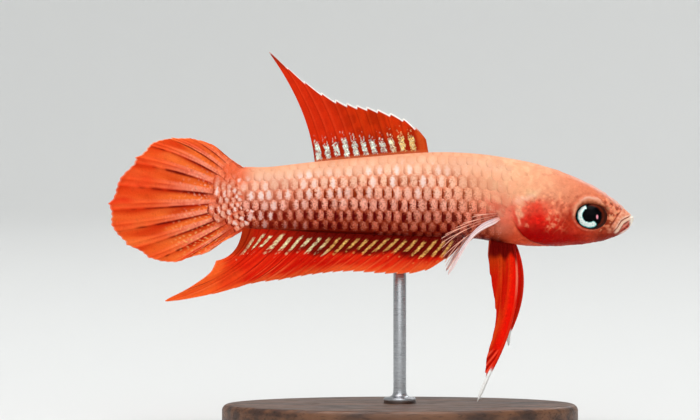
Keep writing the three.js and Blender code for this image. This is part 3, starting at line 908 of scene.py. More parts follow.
def skin_surface():
    """The skin's points, faces and fields. The angle is phi - sin(2 phi) / 8, denser on the sides."""
    phi = np.linspace(0, 2 * np.pi, SKIN_ROUND, endpoint=False)
    angle = phi - 0.125 * np.sin(2 * phi)
    body_part = np.linspace(0.03, 10, BODY_RINGS, endpoint=False)
    section = np.concatenate([body_part, np.linspace(10, LAST_SECTION - 0.02, HEAD_RINGS)])
    sections, angles = np.meshgrid(section, angle, indexing="ij")
    points, normals = body_grid(sections, angles)
    points, normals = points.reshape(-1, 3), normals.reshape(-1, 3)
    x, y, z = points.T
    marks = head_marks(x, y, z)
    points = points + normals * face_relief(x, y, z, marks)[:, None]
    tint = skin_tint(x, y, z, marks)
    grit = 0.36 * step(12, 15, x) * mix(1.0, 0.45, step(-0.5, 1.5, z)) * (1 - 0.8 * step(25.8, 26.6, x))
    grit = grit * (1 - 0.8 * bell(marks.lid, 0.2, 0.6) * marks.lid_fade)
    ends = np.array([points[:SKIN_ROUND].mean(0), points[-SKIN_ROUND:].mean(0)])
    ring = np.arange(SKIN_ROUND)
    last = len(points) - SKIN_ROUND + ring
    tail = np.stack([np.full(SKIN_ROUND, len(points)), np.roll(ring, -1), ring], -1)
    nose = np.stack([np.full(SKIN_ROUND, len(points) + 1), last, np.roll(last, -1)], -1)
    faces = [grid_faces(len(section), SKIN_ROUND, closed=True), tail, nose]
    fields = {"tint": np.vstack([tint, tint[[0, -1]]]), "grit": np.append(grit, grit[[0, -1]])}
    return np.vstack([points, ends]), faces, fields


skin_points, skin_faces, skin_fields = skin_surface()
make_piece("skin", skin_points, skin_faces, SKIN, FLESH_NODES, skin_fields)

# %% [markdown]
# ## The coat of scales
# Each scale is a thin plate that grows out of a pocket and lies over the next one like a roof tile.
# Its free edge, towards the tail, is nearly straight and holds dark pigment, and the shade beside
# that edge is painted into the same dark band; further forward a layer of crystals makes it pale and
# pearly. A texture could fake this, but only real plates catch the
# light at their edges. So every scale is a small grid laid on the body at a given place along X and a
# given way round from the side's widest line.


# %% Finding a place on the body by the way round
ARC_STEP = 0.05
ARC_REACH = 17.0


def arc_table():
    """The angle for each section and each way round, measured along the outline from the widest
    line, positive upwards. Past the midlines it runs on over the other side."""
    sections = np.linspace(0.4, 14.0, 340)
    angles = np.linspace(-np.pi, np.pi, 721)
    ways = np.arange(-ARC_REACH, ARC_REACH + ARC_STEP, ARC_STEP)
    outline = flesh(*np.meshgrid(sections, angles, indexing="ij"))[..., 1:]
    pieces = np.linalg.norm(np.diff(outline, axis=1), axis=-1)
    arcs = np.concatenate([np.zeros((len(sections), 1)), np.cumsum(pieces, axis=1)], axis=1)
    arcs -= arcs[:, [360]]
    table = np.array([np.interp(ways, arc, angles) for arc in arcs])
    top = arcs[:, 540]
    return sections, table, top, arcs[:, 180]


ARC_SECTIONS, ARC_ANGLES, ARC_TOP, ARC_BOTTOM = arc_table()


def angle_at(section, way):
    """The angle at a section and a way round, read between the table's four nearest entries."""
    row = np.interp(section, ARC_SECTIONS, np.arange(len(ARC_SECTIONS)))
    column = np.clip((way + ARC_REACH) / ARC_STEP, 0, ARC_ANGLES.shape[1] - 1.001)
    r = np.minimum(row.astype(int), len(ARC_SECTIONS) - 2)
    c = column.astype(int)
    across, along = column - c, row - r
    near = mix(ARC_ANGLES[r, c], ARC_ANGLES[r, c + 1], across)
    return mix(near, mix(ARC_ANGLES[r + 1, c], ARC_ANGLES[r + 1, c + 1], across), along)


up, down = [np.interp(8, ARC_SECTIONS, ways) for ways in (ARC_TOP, ARC_BOTTOM)]
print(f"half way round at x 3.7: up {up:.1f}, down {down:.1f}")

# %% [markdown]
# A plate's few points are too coarse to hold its markings. So each point only says where on its plate
# it lies, and the finish draws the rest: a pale lens, a dark crevice along the free edge that is
# pigment and painted shade, worm-like marks, pale dots that are partly painted glitter, and on some
# plates a painted glint, with noise on every border.


# %% Scale finish
def scale_material():
    """A scale's colour from its own three tones. Across the plate, `on_scale` holds how far a point
    is from the cover of the next scale (0) to the free edge (1), its way across (-1 to 1), and how
    much painted glint it has. The dark crevice, pigment and painted shade together, is half a lens
    along the free edge, as deep as `crevice` says; the pale part is a whole lens before it; the middle
    tone lies between, and noise frays every border. Pale dots are partly painted glitter of light."""
    material, tree, shader, place = new_material("scales")
    pale, middle, dark = [field(tree, f"{key}_tint") for key in ("pale", "middle", "dark")]
    on_scale = field(tree, "on_scale", "Vector")
    along, across, glint = add(tree, "ShaderNodeSeparateXYZ", {0: on_scale}).outputs
    width = field(tree, "crevice", "Fac")
    fray = maths(tree, "SUBTRACT", noise(tree, place, 3600.0, detail=5.0, roughness=0.8), 0.5)
    bend = maths(tree, "POWER", maths(tree, "ABSOLUTE", maths(tree, "DIVIDE", across, 0.9)), 2.0)
    free = maths(tree, "SUBTRACT", 1.0, width)
    centre = maths(tree, "MULTIPLY", free, 0.5)
    off_centre = maths(tree, "ABSOLUTE", maths(tree, "SUBTRACT", along, centre))
    half = maths(tree, "MULTIPLY", free, ramp(tree, width, 0.16, 0.34, 0.34, 0.52))
    lens = maths(tree, "ADD", maths(tree, "DIVIDE", off_centre, half), bend)
    lens = maths(tree, "ADD", lens, maths(tree, "MULTIPLY", fray, 3.2))
    lit = ramp(tree, lens, 1.7, 0.5)
    # The crevice: dark pigment and painted shade along the free edge.
    rear = maths(tree, "ADD", maths(tree, "DIVIDE", maths(tree, "SUBTRACT", 1.0, along), width), bend)
    rear = maths(tree, "SUBTRACT", rear, maths(tree, "MULTIPLY", fray, 3.4))
    crevice = ramp(tree, rear, 1.3, 0.7)
    base = blend_colour(tree, lit, middle, pale)
    worms = ramp(tree, noise(tree, place, 5600.0, detail=3.0), 0.5, 0.62)
    worms = maths(tree, "MULTIPLY", worms, ramp(tree, width, 0.12, 0.4, 0.12, 0.75))
    base = blend_colour(tree, worms, base, blend_colour(tree, 0.45, dark, middle))
    base = blend_colour(tree, crevice, base, dark)
    # Painted highlight: a whitish glint in the lens of some plates.
    glint = maths(tree, "MULTIPLY", ramp(tree, lens, 0.9, 0.4), glint)
    base = blend_colour(tree, glint, base, shade(255, 226, 220))
    # Pale dots: partly the scale's own specks, partly painted glitter of light.
    dots = ramp(tree, noise(tree, place, 8200.0, detail=1.0), 0.58, 0.7)
    dots = maths(tree, "MULTIPLY", dots, ramp(tree, lens, 1.5, 0.7, 0.0, 0.7))
    base = blend_colour(tree, dots, base, blend_colour(tree, 0.3, pale, shade(255, 226, 210)))
    looks = {
        "Base Color": base,
        "Roughness": ramp(tree, crevice, 0.0, 1.0, 0.3, 0.5),
        "Subsurface Weight": 0.05,
        "Subsurface Radius": (1.0, 0.3, 0.15),
        "Subsurface Scale": 0.0002,
        "Specular IOR Level": 0.03,
        "Coat Weight": 0.02,
        "Coat Roughness": 0.15,
    }
    join(tree, shader, looks)
    grain = placed(tree, GRAIN, {"Place": place, "Scale": 6000.0}).outputs[0]
    bump(tree, shader, grain, 0.00006)
    return material


SCALES = scale_material()
print("scale finish of", len(SCALES.node_tree.nodes), "nodes")

# %% [markdown]
# Scales grow in lengthwise rows, and neighbouring rows are half a scale out of step. Places scattered
# at random would leave gaps, so the places are a grid of rows and columns that follows the way round
# the body. It is cut off at the midlines and behind the gill cover.

# %% Where the scales sit
SCALE_PITCH = 1.216  # from one free edge to the next in the same row
SCALE_LENGTH = 2.1
SCALE_HALF_WIDTH = 0.64  # in rows
ROW_START = 0.3  # way round from the widest line to the middle row
PLATE_ALONG = np.array([0, 0.35, 0.52, 0.68, 0.85, 1.0])  # shares of the way from root to free edge
PLATE_ACROSS = np.linspace(-1, 1, 8)


def row_pitch(x):
    """The way round from one row to the next: 1.52 on the trunk, 1.27 at the tail's base."""
    return mix(1.27, 1.52, step(-18, 0, x))


def scale_places():
    """(free edge's place along X, row number) for every scale of one side. Odd rows sit half a pitch
    on. Rows run out where they meet the midlines, and the coat ends behind the gill cover."""
    rows, columns = np.meshgrid(np.arange(-7, 8), np.arange(0, 40), indexing="ij")
    x = 18.4 - SCALE_PITCH * (columns + 0.5 * (rows % 2))
    way = ROW_START + rows * row_pitch(x)
    section = section_at(x)
    top = np.interp(section, ARC_SECTIONS, ARC_TOP)
    bottom = np.interp(section, ARC_SECTIONS, ARC_BOTTOM)
    z = flesh(section, angle_at(section, way))[..., 2]
    front = mix(12.3, 13.9, step(-2.0, 1.0, z))
    keep = (way < top - 0.1) & (way > bottom + 0.6) & (x < front) & (x > -20.4)
    return x[keep], rows[keep]


def body_surface(x, row, side):
    """(points, normals) of the sunken skin, at a place along X and a row counted up from the middle."""
    section = section_at(x)
    angle = angle_at(section, ROW_START + row * row_pitch(x))
    return body_grid(section, angle if side > 0 else np.pi - angle)


print("scales on each side:", len(scale_places()[0]))

# %% [markdown]
# A plate is a small grid bent to the surface, with a wall round its rim and a flat underside, so that
# it is solid. Hundreds of objects would be slow to handle, so all plates of one side are worked out
# at once, as arrays, and become one mesh. Each has a place of its own in the map OFBake.


# %% Lay the plates
def lay_plates(name, side, surface, edge, row, pitch, length, rise, looks, flat_place):
    """Overlapping plates as one piece. A plate runs forward over the surface from its free edge, and
    rises from its root, under the skin, by rise(points) in mm, then dips at its rim into the plates
    it lies on. looks(points) gives the pale, middle and dark tones, the crevice's share and how much
    a plate glints."""
    count = len(edge)
    draw = np.random.default_rng(41 + side)
    chance = draw.uniform(size=(count, 1, 1))
    edge = edge + 0.07 * pitch * draw.normal(size=count)
    row = row + 0.045 * draw.normal(size=count)
    p = PLATE_ALONG[None, :, None]
    q = PLATE_ACROSS[None, None, :]
    corner = 1 - 0.15 * np.abs(q) ** 3 - 0.05 * np.abs(q) ** 8
    along = edge[:, None, None] + length * (1 - p * corner) + 0.02 * pitch * np.sin(7 * q + 40 * chance)
    width = SCALE_HALF_WIDTH * (0.72 + 0.28 * step(0, 0.4, p)) * (0.97 + 0.06 * chance)
    points, normals = surface(along, row[:, None, None] + q * width, side)
    middle = points.mean((1, 2))
    height = rise(middle)[:, None, None]
    dip = (1 - 0.9 * step(0.75, 1.0, p)) * (1 - q**4)
    lift = (0.01 + height) * p * dip * (1 + 0.2 * (chance - 0.5)) - 0.012 * (1 - p)
    top = (points + normals * lift[..., None]).reshape(count, -1, 3)
    under = (points - 0.06 * normals).reshape(count, -1, 3)
    rows, columns = len(PLATE_ALONG), len(PLATE_ACROSS)
    number = np.arange(rows * columns).reshape(rows, columns)
    rim = np.concatenate([number[0, :-1], number[:-1, -1], number[-1, :0:-1], number[:0:-1, 0]])
    plate = np.concatenate([top, under[:, rim]], axis=1)
    each = plate.shape[1]
    lower = rows * columns + np.arange(len(rim))
    wall = np.stack([rim, np.roll(rim, -1), np.roll(lower, -1), lower], -1)
    shapes = [grid_faces(rows, columns), wall[:, ::-1], lower[None, ::-1]]
    if side > 0:
        shapes = [shape[:, ::-1] for shape in shapes]
    first = (np.arange(count) * each)[:, None, None]
    faces = [(shape[None] + first).reshape(-1, shape.shape[1]) for shape in shapes]

    def for_each(values):
        """Values on the plate's grid, with the rim's own repeated for its lower edge."""
        flat = np.broadcast_to(values, (count, rows, columns)).reshape(count, -1)
        return np.concatenate([flat, flat[:, rim]], axis=1).ravel()

    shown = 1 - (1 - p * corner) * length / pitch
    flat_x, flat_y = flat_place(middle, row)
    bake_x = flat_x.repeat(each) + 0.003 * (for_each(p) - 0.5)
    bake_y = flat_y.repeat(each) + 0.0015 * for_each(q)
    pale, between, dark, crevice, glint = looks(plate.reshape(-1, 3))
    chances = draw.uniform(size=(3, count)).repeat(each, 1)
    brightness = (1 + 0.1 * (2 * chances[0] - 1.1) * step(0.04, 0.16, crevice))[:, None]
    fields = {"pale_tint": pale * brightness, "middle_tint": between * brightness, "dark_tint": dark}
    fields["crevice"] = crevice * mix(0.7, 1.25, chances[1])
    # The glint is a painted highlight.
    fields["on_scale"] = np.stack([for_each(shown), for_each(q), glint * step(0.2, 1.0, chances[2])], -1)
    print(f"{name}: {count} scales")
    bake = np.stack([bake_x, bake_y], -1)
    smooth = [True, False, False]
    return make_piece(name, plate.reshape(-1, 3), faces, SCALES, (), fields, bake, smooth)

# %% [markdown]
# The coat thins out towards the head and the breast. There the plates lie lower and take on the
# skin's own colour, so that no border shows where they end.


# %% Scales on the body
def body_looks(points):
    """The looks of the body's plates, which sink into the skin's own colour as the coat fades out."""
    x, y, z = points.T
    skin = skin_tint(x, y, z, head_marks(x, y, z))
    strength = coat_strength(x, y, z)
    pale, middle, dark = coat_tones(x, y, z)
    pale = paint(skin, pale, 2.0 * strength)
    middle = paint(skin, middle, 2.0 * strength)
    dark = paint(skin, dark, 1.5 * strength)
    height = place_on_side(x, z)
    crevice = mix(0.5, 0.36, step(0.2, 0.7, height)) * (0.6 + 0.4 * step(0.0, 0.5, strength))
    # Painted highlights: glints on the upper rows and at the rear, none on the shoulder.
    glint = step(0.06, 0.3, strength) * mix(step(0.3, 0.7, height), 1.0, step(-10, -16, x))
    return pale, middle, dark, crevice, 0.85 * glint * (1 - step(3.0, 8.0, x))


def scale_coat(name, side):
    """All scales of one side as one piece."""
    edge, row = scale_places()

    def flat_place(middle, row):
        """A plate's place in the map OFBake."""
        return (middle[:, 0] + 24) / 56, 0.5 + side * 0.25 + (ROW_START + row * 1.4) / 48

    def rise(middle):
        """How far a plate's free edge stands off the body, in millimetres."""
        return 0.002 + 0.05 * coat_strength(*middle.T)

    lay_plates(name, side, body_surface, edge, row, SCALE_PITCH, SCALE_LENGTH, rise, body_looks, flat_place)


scale_coat("scales_right", -1)
scale_coat("scales_left", 1)

# %% [markdown]
# ## The eyes
# A fish's eye is a flattened ball that stands a little proud of its socket. The iris is silvery only
# in part: a pale crescent lies behind and below the black pupil, the part ahead of it is brown, and
# the rest is as dark as the pupil. The colours are rings and an arc in the eye's own flat
# coordinates, and a clear coat over all of them stands for the wet cornea.

# %% Eye finish
PUPIL = (-0.12, 0.13)  # its centre, from the eye's


def eye_material():
    """Glossy wet eye: the tint's colour under a clear coat."""
    material, tree, shader, place = new_material("eye")
    tint = field(tree, "tint")
    links = {"Colour": tint, "Place": place, "Scale": 3500.0, "Dark": 0.15, "Light": 0.05}
    looks = {
        "Base Color": placed(tree, MOTTLE, links).outputs[0],
        "Roughness": 0.3,
        "Specular IOR Level": 0.02,
        "Coat Weight": 0.3,
        "Coat IOR": 1.15,
        "Coat Roughness": 0.03,
    }
    join(tree, shader, looks)
    return material


EYE = eye_material()


def eye_tint(x, z):
    """Colours of the eye at flat places from the middle of its opening: an arc of pale iris behind and
    below the pupil, which widens towards its lower end, and a pink painted highlight, a catch-light,
    before it, on black. The front part is brown, and so is the rim where eye meets skin."""
    from_pupil_x, from_pupil_z = x - PUPIL[0], z - PUPIL[1]
    radius = np.hypot(from_pupil_x, from_pupil_z) + 0.03 * ripple(51, 0.45, x, z)
    turn = np.degrees(np.arctan2(from_pupil_z, from_pupil_x)) % 360
    share = np.clip((turn - 110) / 195, 0, 1)
    middle, half = mix(1.06, 1.2, share), mix(0.23, 0.35, share)
    end = np.maximum(np.abs(turn - 207) - 92, 0) * np.pi / 180 * middle
    across = np.hypot(np.maximum(np.abs(radius - middle) - 0.1, 0), end) / (half - 0.1)
    tint = np.broadcast_to(colour(2, 3, 5), (*np.shape(x), 3))
    teal = bell(radius, middle + half + 0.02, 0.07) * step(95, 115, turn) * (1 - step(290, 315, turn))
    tint = paint(tint, colour(30, 120, 126), 0.8 * teal)
    tint = paint(tint, colour(120, 205, 200), 1 - step(0.85, 1.15, across))
    tint = paint(tint, colour(242, 255, 250), 1 - step(0.5, 0.95, across + 0.2 * ripple(52, 0.35, x, z)))
    flecks = step(0.6, 0.95, ripple(53, 0.3, x, z)) * (1 - step(0.9, 1.1, across))
    tint = paint(tint, colour(110, 200, 196), 0.5 * flecks)
    # Painted highlight: a pink catch-light before the pupil.
    catch_light = np.hypot((x - PUPIL[0] - 0.98) / 0.14, (z - PUPIL[1] + 0.2) / 0.3)
    tint = paint(tint, colour(250, 160, 178), 1 - step(0.6, 1.1, catch_light))
    from_eye = np.hypot(x, z / 0.86)
    ahead = step(0.1, 0.6, (x + 0.4 * z) / np.maximum(from_eye, 0.1))
    front = step(1.38, 1.64, from_eye + 0.06 * ripple(54, 0.8, x, z)) * ahead
    tint = paint(tint, colour(92, 30, 14), 0.9 * front)
    behind = step(90, 120, turn) * (1 - step(250, 290, turn))
    tint = paint(tint, colour(52, 24, 30), 0.8 * step(1.58, 1.7, from_eye) * behind)
    return paint(tint, colour(58, 20, 10), step(1.7, 1.85, from_eye))


print("pupil", eye_tint(*np.array(PUPIL)).round(3).tolist())

# %% [markdown]
# The ball is a set of rings round the line that the eye looks along. A stock sphere has its poles at
# the top and bottom, and too few points for colours that are read at the points.


# %% Eyeballs
def eye_ball(name, side, node):
    """An ellipsoid as rings from its outer pole inwards, in the box of the frame's eye."""
    low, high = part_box(node)
    radius_x, depth = (high.x - low.x) * 500, (high.y - low.y) * 500
    radius_z = min((high.z - low.z) * 500, 1.7)
    centre_x, centre_y, centre_z = (high + low) * 500
    rings, round_ = 90, 144
    fall = np.linspace(0.004, np.pi - 0.02, rings)[:, None] * np.ones(round_)
    turn = np.linspace(0, 2 * np.pi, round_, endpoint=False)[None, :] * np.ones((rings, 1))
    x = radius_x * np.sin(fall) * np.cos(turn)
    z = radius_z * np.sin(fall) * np.sin(turn)
    y = centre_y + side * depth * np.cos(fall)
    x, z = x + centre_x, z + centre_z - FISH_HEIGHT
    points = np.stack([x, y, z], -1).reshape(-1, 3)
    faces = grid_faces(rings, round_, closed=True)
    ring = np.arange(round_)
    caps = [ring[None, ::-1], ((rings - 1) * round_ + ring)[None, :]]
    if side < 0:
        faces, caps = faces[:, ::-1], [cap[:, ::-1] for cap in caps]
    tint = eye_tint(x.ravel() - EYE_X, z.ravel() - EYE_Z)
    return make_piece(name, points, [faces, *caps], EYE, [node], {"tint": tint})


eye_ball("eyeball_right", -1, "eye_right")
eye_ball("eyeball_left", 1, "eye_left")

# %% [markdown]
# ## Fins
# A fin is a fan of bony rays with a thin web between them. Its root line and its margin are curves of
# one parameter `u`, from the first ray to the last. Each ray is a curve of one bend from root to
# margin, with `v` from 0 to 1 along it. That gives a sheet; the shell is the sheet pushed out to both
# sides by half its thickness, which swells over each ray, narrows towards the margin, and splits into
# branches where real rays do. The web pulls back a little between the tips, so margins are scalloped.


# %% The fan of a fin
def across(*values):
    """Vectors (x, y, z) from three arrays or numbers, spread to one shape."""
    return np.stack(np.broadcast_arrays(*[np.asarray(v, float) for v in values]), -1)


def hollow(f, u):
    """A scallop that hangs between two ray tips: the root of a half sine. f is the way from one ray
    to the next; u, the way along the whole fin, is not used."""
    return np.abs(np.sin(np.pi * f)) ** 0.8


def saw(f, u):
    """A scallop like a roof tile: it rises from one ray to just before the next, then drops."""
    return (1 - f) * (1 - step(0.82, 1.0, f)) + step(0.82, 1.0, f)


def taper(root, margin, fall):
    """Half a fin's thickness: root at its root, margin at its margin, by the power fall between."""
    return lambda u, v: mix(root, margin, v**fall)


def fan_sheet(fin, u, v):
    """(points, length so far, full length) on a fin's middle sheet: (1 - t)^2 root + 2 t (1 - t)
    middle + t^2 margin + sway, where t is v shortened by the scallop's depth."""
    root, tip = fin["root"](u), fin["tip"](u)
    middle = (root + tip) / 2 + fin["bow"](u)
    length = np.linalg.norm(tip - root, axis=-1)
    place = u * (fin["rays"] - 1)
    pull = fin["notch"] * fin["scallop"](place - np.floor(place), u)
    reach = 1 - pull / np.maximum(length, 3 * fin["notch"])
    t = v * reach
    near, far = (1 - t)[..., None], t[..., None]
    sheet = near**2 * root + 2 * far * near * middle + far**2 * tip + fin["sway"](u, t)
    return sheet, length * t, length * reach


def ray_marks(fin, u, v):
    """(ray, groove, line, climb), each 0 to 1. A ray is a flat band round each whole number of
    u * (rays - 1), with a groove along it where it has split. On its far side lies a crease, the foot
    of a pleat, where the fins' paint lays painted shade, and from there the web climbs to the next ray."""
    place = u * (fin["rays"] - 1)
    from_ray = place - np.round(place)
    band = fin["band"]
    ray = 1 - step(band - 0.05, band + 0.05, np.abs(from_ray))
    groove = step(fin["split"], fin["split"] + 0.25, v) * bell(from_ray, 0, 0.06)
    line = bell(from_ray, band + 0.06, fin["crease"] * mix(1.0, 0.5, v))
    climb = np.clip((from_ray % 1 - band - 0.08) / (0.92 - 2 * band), 0, 1)
    return ray, groove, line, climb


def fin_marks(fin):
    """Everything that a fin's shape and colour depend on, as arrays of rows by columns."""
    per_ray, rows = fin["mesh"]
    u, v = np.meshgrid(np.linspace(0, 1, per_ray * (fin["rays"] - 1) + 1), np.linspace(0, 1, rows))
    sheet, far, length = fan_sheet(fin, u, v)
    ray, groove, line, climb = ray_marks(fin, u, v)
    width = np.linalg.norm(sheet[:, -1] - sheet[:, 0], axis=-1)[:, None]
    place = u * (fin["rays"] - 1)
    return SimpleNamespace(
        x=sheet[..., 0],
        z=sheet[..., 2],
        u=u,
        v=v,
        far=far,  # millimetres from the root
        left=length - far,  # millimetres to the margin
        side=np.minimum(u, 1 - u) * width,  # millimetres to the first or last ray
        place=place,
        ray=ray,
        groove=groove,
        line=line,
        climb=climb,
        sheet=sheet,
    )


print("a roof tile's rise from ray to ray", saw(np.linspace(0, 1, 5), 0).round(2).tolist())

# %% [markdown]
# The shell takes the sheet, pleats it by the rays' relief, and pushes it out both ways by half its
# thickness, so that a fin is one closed solid with real grooves on both faces. A plane with a
# picture of a fin on it would be quicker, but it has no edge and no relief.


# %% Shell of a fin
def fin_piece(name, fin, paint_fin, material, node, cover=None):
    """A fin's closed shell: the sheet pleated by the rays' relief, then pushed out both ways by half
    its thickness, which falls to the margin and rounds off over the last 0.2 mm of either side."""
    w = fin_marks(fin)
    out = unit(np.cross(np.gradient(w.sheet, axis=1), np.gradient(w.sheet, axis=0)))
    relief = w.ray * (1 - 0.5 * w.groove) + (1 - w.ray) * 0.55 * w.climb - 0.5 * w.line
    sheet = w.sheet + out * (fin["pleat"] * relief * step(0, 0.15, w.v))[..., None]
    half = fin["half"](w.u, w.v) * (0.75 + 0.35 * w.ray - 0.2 * w.line)
    half = half * np.sqrt(np.clip(w.side / 0.2, 0.08, 1))
    front, back = sheet + out * half[..., None], sheet - out * half[..., None]
    rows, columns = w.u.shape
    points = np.concatenate([front, back[:, ::-1]], axis=1).reshape(-1, 3)
    number = np.arange(rows * 2 * columns).reshape(rows, 2 * columns)
    faces = [grid_faces(rows, 2 * columns, closed=True)]
    for row, turn in ((0, 1), (-1, -1)):
        ahead, behind = number[row, :columns], number[row, columns:][::-1]
        faces.append(np.stack([ahead[:-1], behind[:-1], behind[1:], ahead[1:]], -1)[:, ::turn])
    corners = points[np.concatenate(faces)]
    a, b, c, d = np.moveaxis(corners, 1, 0)
    if (np.cross(c - a, d - b) * (a + b + c + d)).sum() < 0:
        faces = [f[:, ::-1] for f in faces]

    def both(field):
        """A field of the sheet, for the front and then the back, as the points run."""
        return np.concatenate([field, field[:, ::-1]], axis=1).reshape(rows * 2 * columns, -1)

    tint, grit = paint_fin(w)
    fields = {"tint": both(tint), "grit": both(grit + 0 * w.u)}
    if cover:
        fields["cover"] = both(cover(w))
    return make_piece(name, points, faces, material, [node], fields)

# %% [markdown]
# A fin is a thin skin on bony rays. Its tint is painted point by point, because it follows the rays,
# and this finish only breaks it up with small mottling and, where it is pearly, with flakes.


# %% Fin finish
def fin_material():
    """Fin web and rays: the tint, in flakes where the web is pearly, mottled, with a faint sheen."""
    material, tree, shader, place = new_material("fin_web")
    tint, grit = field(tree, "tint"), field(tree, "grit", "Fac")
    flakes = placed(tree, FLAKES, {"Colour": tint, "Place": place, "Scale": 4200.0, "Amount": grit})
    links = {"Colour": flakes.outputs[0], "Place": place, "Scale": 1900.0, "Dark": 0.2, "Light": 0.35}
    looks = {
        "Base Color": placed(tree, MOTTLE, links).outputs[0],
        "Roughness": ramp(tree, noise(tree, place, 3000.0), 0.35, 0.7, 0.35, 0.55),
        "Specular IOR Level": 0.025,
        "Coat Weight": 0.01,
        "Coat Roughness": 0.2,
    }
    join(tree, shader, looks)
    height = placed(tree, GRAIN, {"Place": place, "Scale": 4200.0}).outputs[0]
    bump(tree, shader, height, 0.00006)
    return material


FIN_WEB = fin_material()
print("fin finish of", len(FIN_WEB.node_tree.nodes), "nodes")

# %% [markdown]
# The tail fin is nearly round, a little flattened at its upper rear, and its rays spread from the
# stump of the tail. A drawn outline could be cut from a plane, but as two curves of one parameter, the
# roots and the tips, it carries the rays with it.

# %% Outline of the tail fin
CAUDAL_TIP = through(
    [
        [0, -20.2, 4.4],
        [0.05, -22.0, 5.8],
        [0.12, -24.3, 7.3],
        [0.22, -27.9, 7.8],
        [0.33, -31.2, 6.7],
        [0.42, -33.6, 4.1],
        [0.5, -35.3, 1.1],
        [0.56, -36.2, -1.3],
        [0.64, -35.1, -4.0],
        [0.73, -32.6, -6.5],
        [0.83, -28.4, -7.7],
        [0.92, -24.6, -6.7],
        [0.96, -22.4, -5.4],
        [1, -20.2, -4.05],
    ]
)


def caudal_root(u):
    """The rays' roots, on a curve inside the tail's stump."""
    side = 1 - 2 * u
    return across(-20.0 + 1.8 * side**2, 0, 0.25 + 3.3 * side)


print("tail fin's furthest point", CAUDAL_TIP(0.56).round(1).tolist())

# %% [markdown]
# The tail fin is orange-red on the rays and dark red in the creases, with a pearly bloom near its
# root. The dark of the creases and the climb of each web from dark to light are painted shade and
# light of the pleats, and the rays' pale tops are partly painted light. Each layer of colour is laid
# by the way along the rays or from one ray to the next. A small dictionary of numbers and curves
# then describes the whole fin to the helpers above.


# %% Tail fin
def caudal_paint(w):
    """Rays pinkish at their roots and orange further out, partly painted light on their raised tops,
    each with a maroon crease below it, painted shade; the web climbs from red-brown to orange, painted
    shade and light across each pleat; the margin is redder in patches, with a thin pale rim."""
    streak = ripple(61, 1.2, 1.6 * w.place, 0.14 * w.far)
    # Painted shade and light: each web is darker at its crease and lighter towards the next ray.
    web = paint(colour(200, 42, 4), colour(255, 116, 48), w.climb**0.8 + 0.35 * streak)
    ray = paint(colour(252, 144, 114), colour(255, 114, 60), step(4.0, 11.0, w.far))
    segments = 0.5 + 0.5 * np.cos(2 * np.pi * (w.far / 0.38 + 0.3 * ripple(59, 0.9, 2.0 * w.place, w.far)))
    segments = segments * step(-0.6, 0.8, ripple(60, 1.5, 2.0 * w.place, w.far))
    ray = paint(ray, colour(214, 70, 38), 0.4 * segments * step(2.5, 4.0, w.far) * (1 - step(8, 11, w.far)))
    tint = paint(web, ray, 0.9 * w.ray * (1 - 0.6 * w.groove))
    outer = step(0.5, 0.95, w.v)
    tint = paint(tint, colour(255, 88, 28), 0.5 * outer)
    bright = step(-0.1, 0.7, streak) * outer * mix(1.0, 0.5, step(0.3, 0.6, w.u))
    tint = paint(tint, colour(255, 138, 66), 0.7 * bright)
    red = bell(w.u + 0.04 * ripple(62, 3.0, w.x, w.z), 0.47, 0.14) * step(0.4, 0.85, w.v)
    tint = paint(tint, colour(238, 28, 6), 0.7 * red * (0.6 + 0.4 * streak))
    tint = paint(tint, colour(220, 46, 8), 0.5 * step(0.2, 1.0, -streak) * step(0.3, 0.6, w.v))
    upper = (1 - step(0.12, 0.3, w.u)) * step(1.0, 3.0, w.far)
    tint = paint(tint, colour(255, 116, 60), 0.5 * upper)
    fade = 1 - 0.9 * step(0.5, 0.9, w.v + 0.2 * ripple(63, 1.5, w.x, w.z))
    # Painted shade in the crease at the foot of each pleat.
    dark = w.line * step(1.6, 3.2, w.far) * fade * (0.75 + 0.4 * ripple(66, 1.7, w.place, 0.3 * w.far))
    tint = paint(tint, colour(112, 12, 0), np.clip(1.5 * dark, 0, 1))
    near = 1 - step(3.4, 7.6, w.far + 1.4 * ripple(64, 1.4, w.x, w.z))
    low = step(0.55, 0.75, w.u)
    pearl = step(0.4, 1.0, ripple(65, 0.6, 2.2 * w.place, w.far)) * (1 - 0.8 * w.line) * step(0.25, 0.5, w.u)
    gold = paint(colour(253, 188, 158), colour(253, 188, 112), low)
    tint = paint(tint, gold, 0.65 * pearl * np.maximum(near, 0.9 * low * (1 - step(7.5, 10.0, w.far))))
    root = 1 - step(2.4, 4.0, w.far + 0.5 * streak)
    stump = paint(colour(246, 124, 84), colour(214, 78, 44), step(0.3, 0.8, w.u))
    tint = paint(tint, stump, 0.9 * root * (1 - 0.6 * w.line))
    rim = (1 - step(0.1, 0.24, w.left)) * mix(1.0, 0.3, step(0.3, 0.5, w.u))
    return paint(tint, colour(255, 204, 172), 0.9 * rim), 0.4 * near


def caudal_half(u, v):
    """Half the tail fin's thickness: just within the stump at its root, thin at its margin."""
    return mix(0.6 * np.sqrt(1 - 0.8 * (1 - 2 * u) ** 2), 0.045, v**0.45)


def caudal_scallop(f, u):
    """Hollows between the ray tips, deep and shallow by turns, with a few small teeth in them."""
    return (0.55 + 0.45 * np.sin(37 * u)) * np.abs(np.sin(np.pi * f)) ** 0.6 + 0.1 * np.sin(8 * np.pi * f)


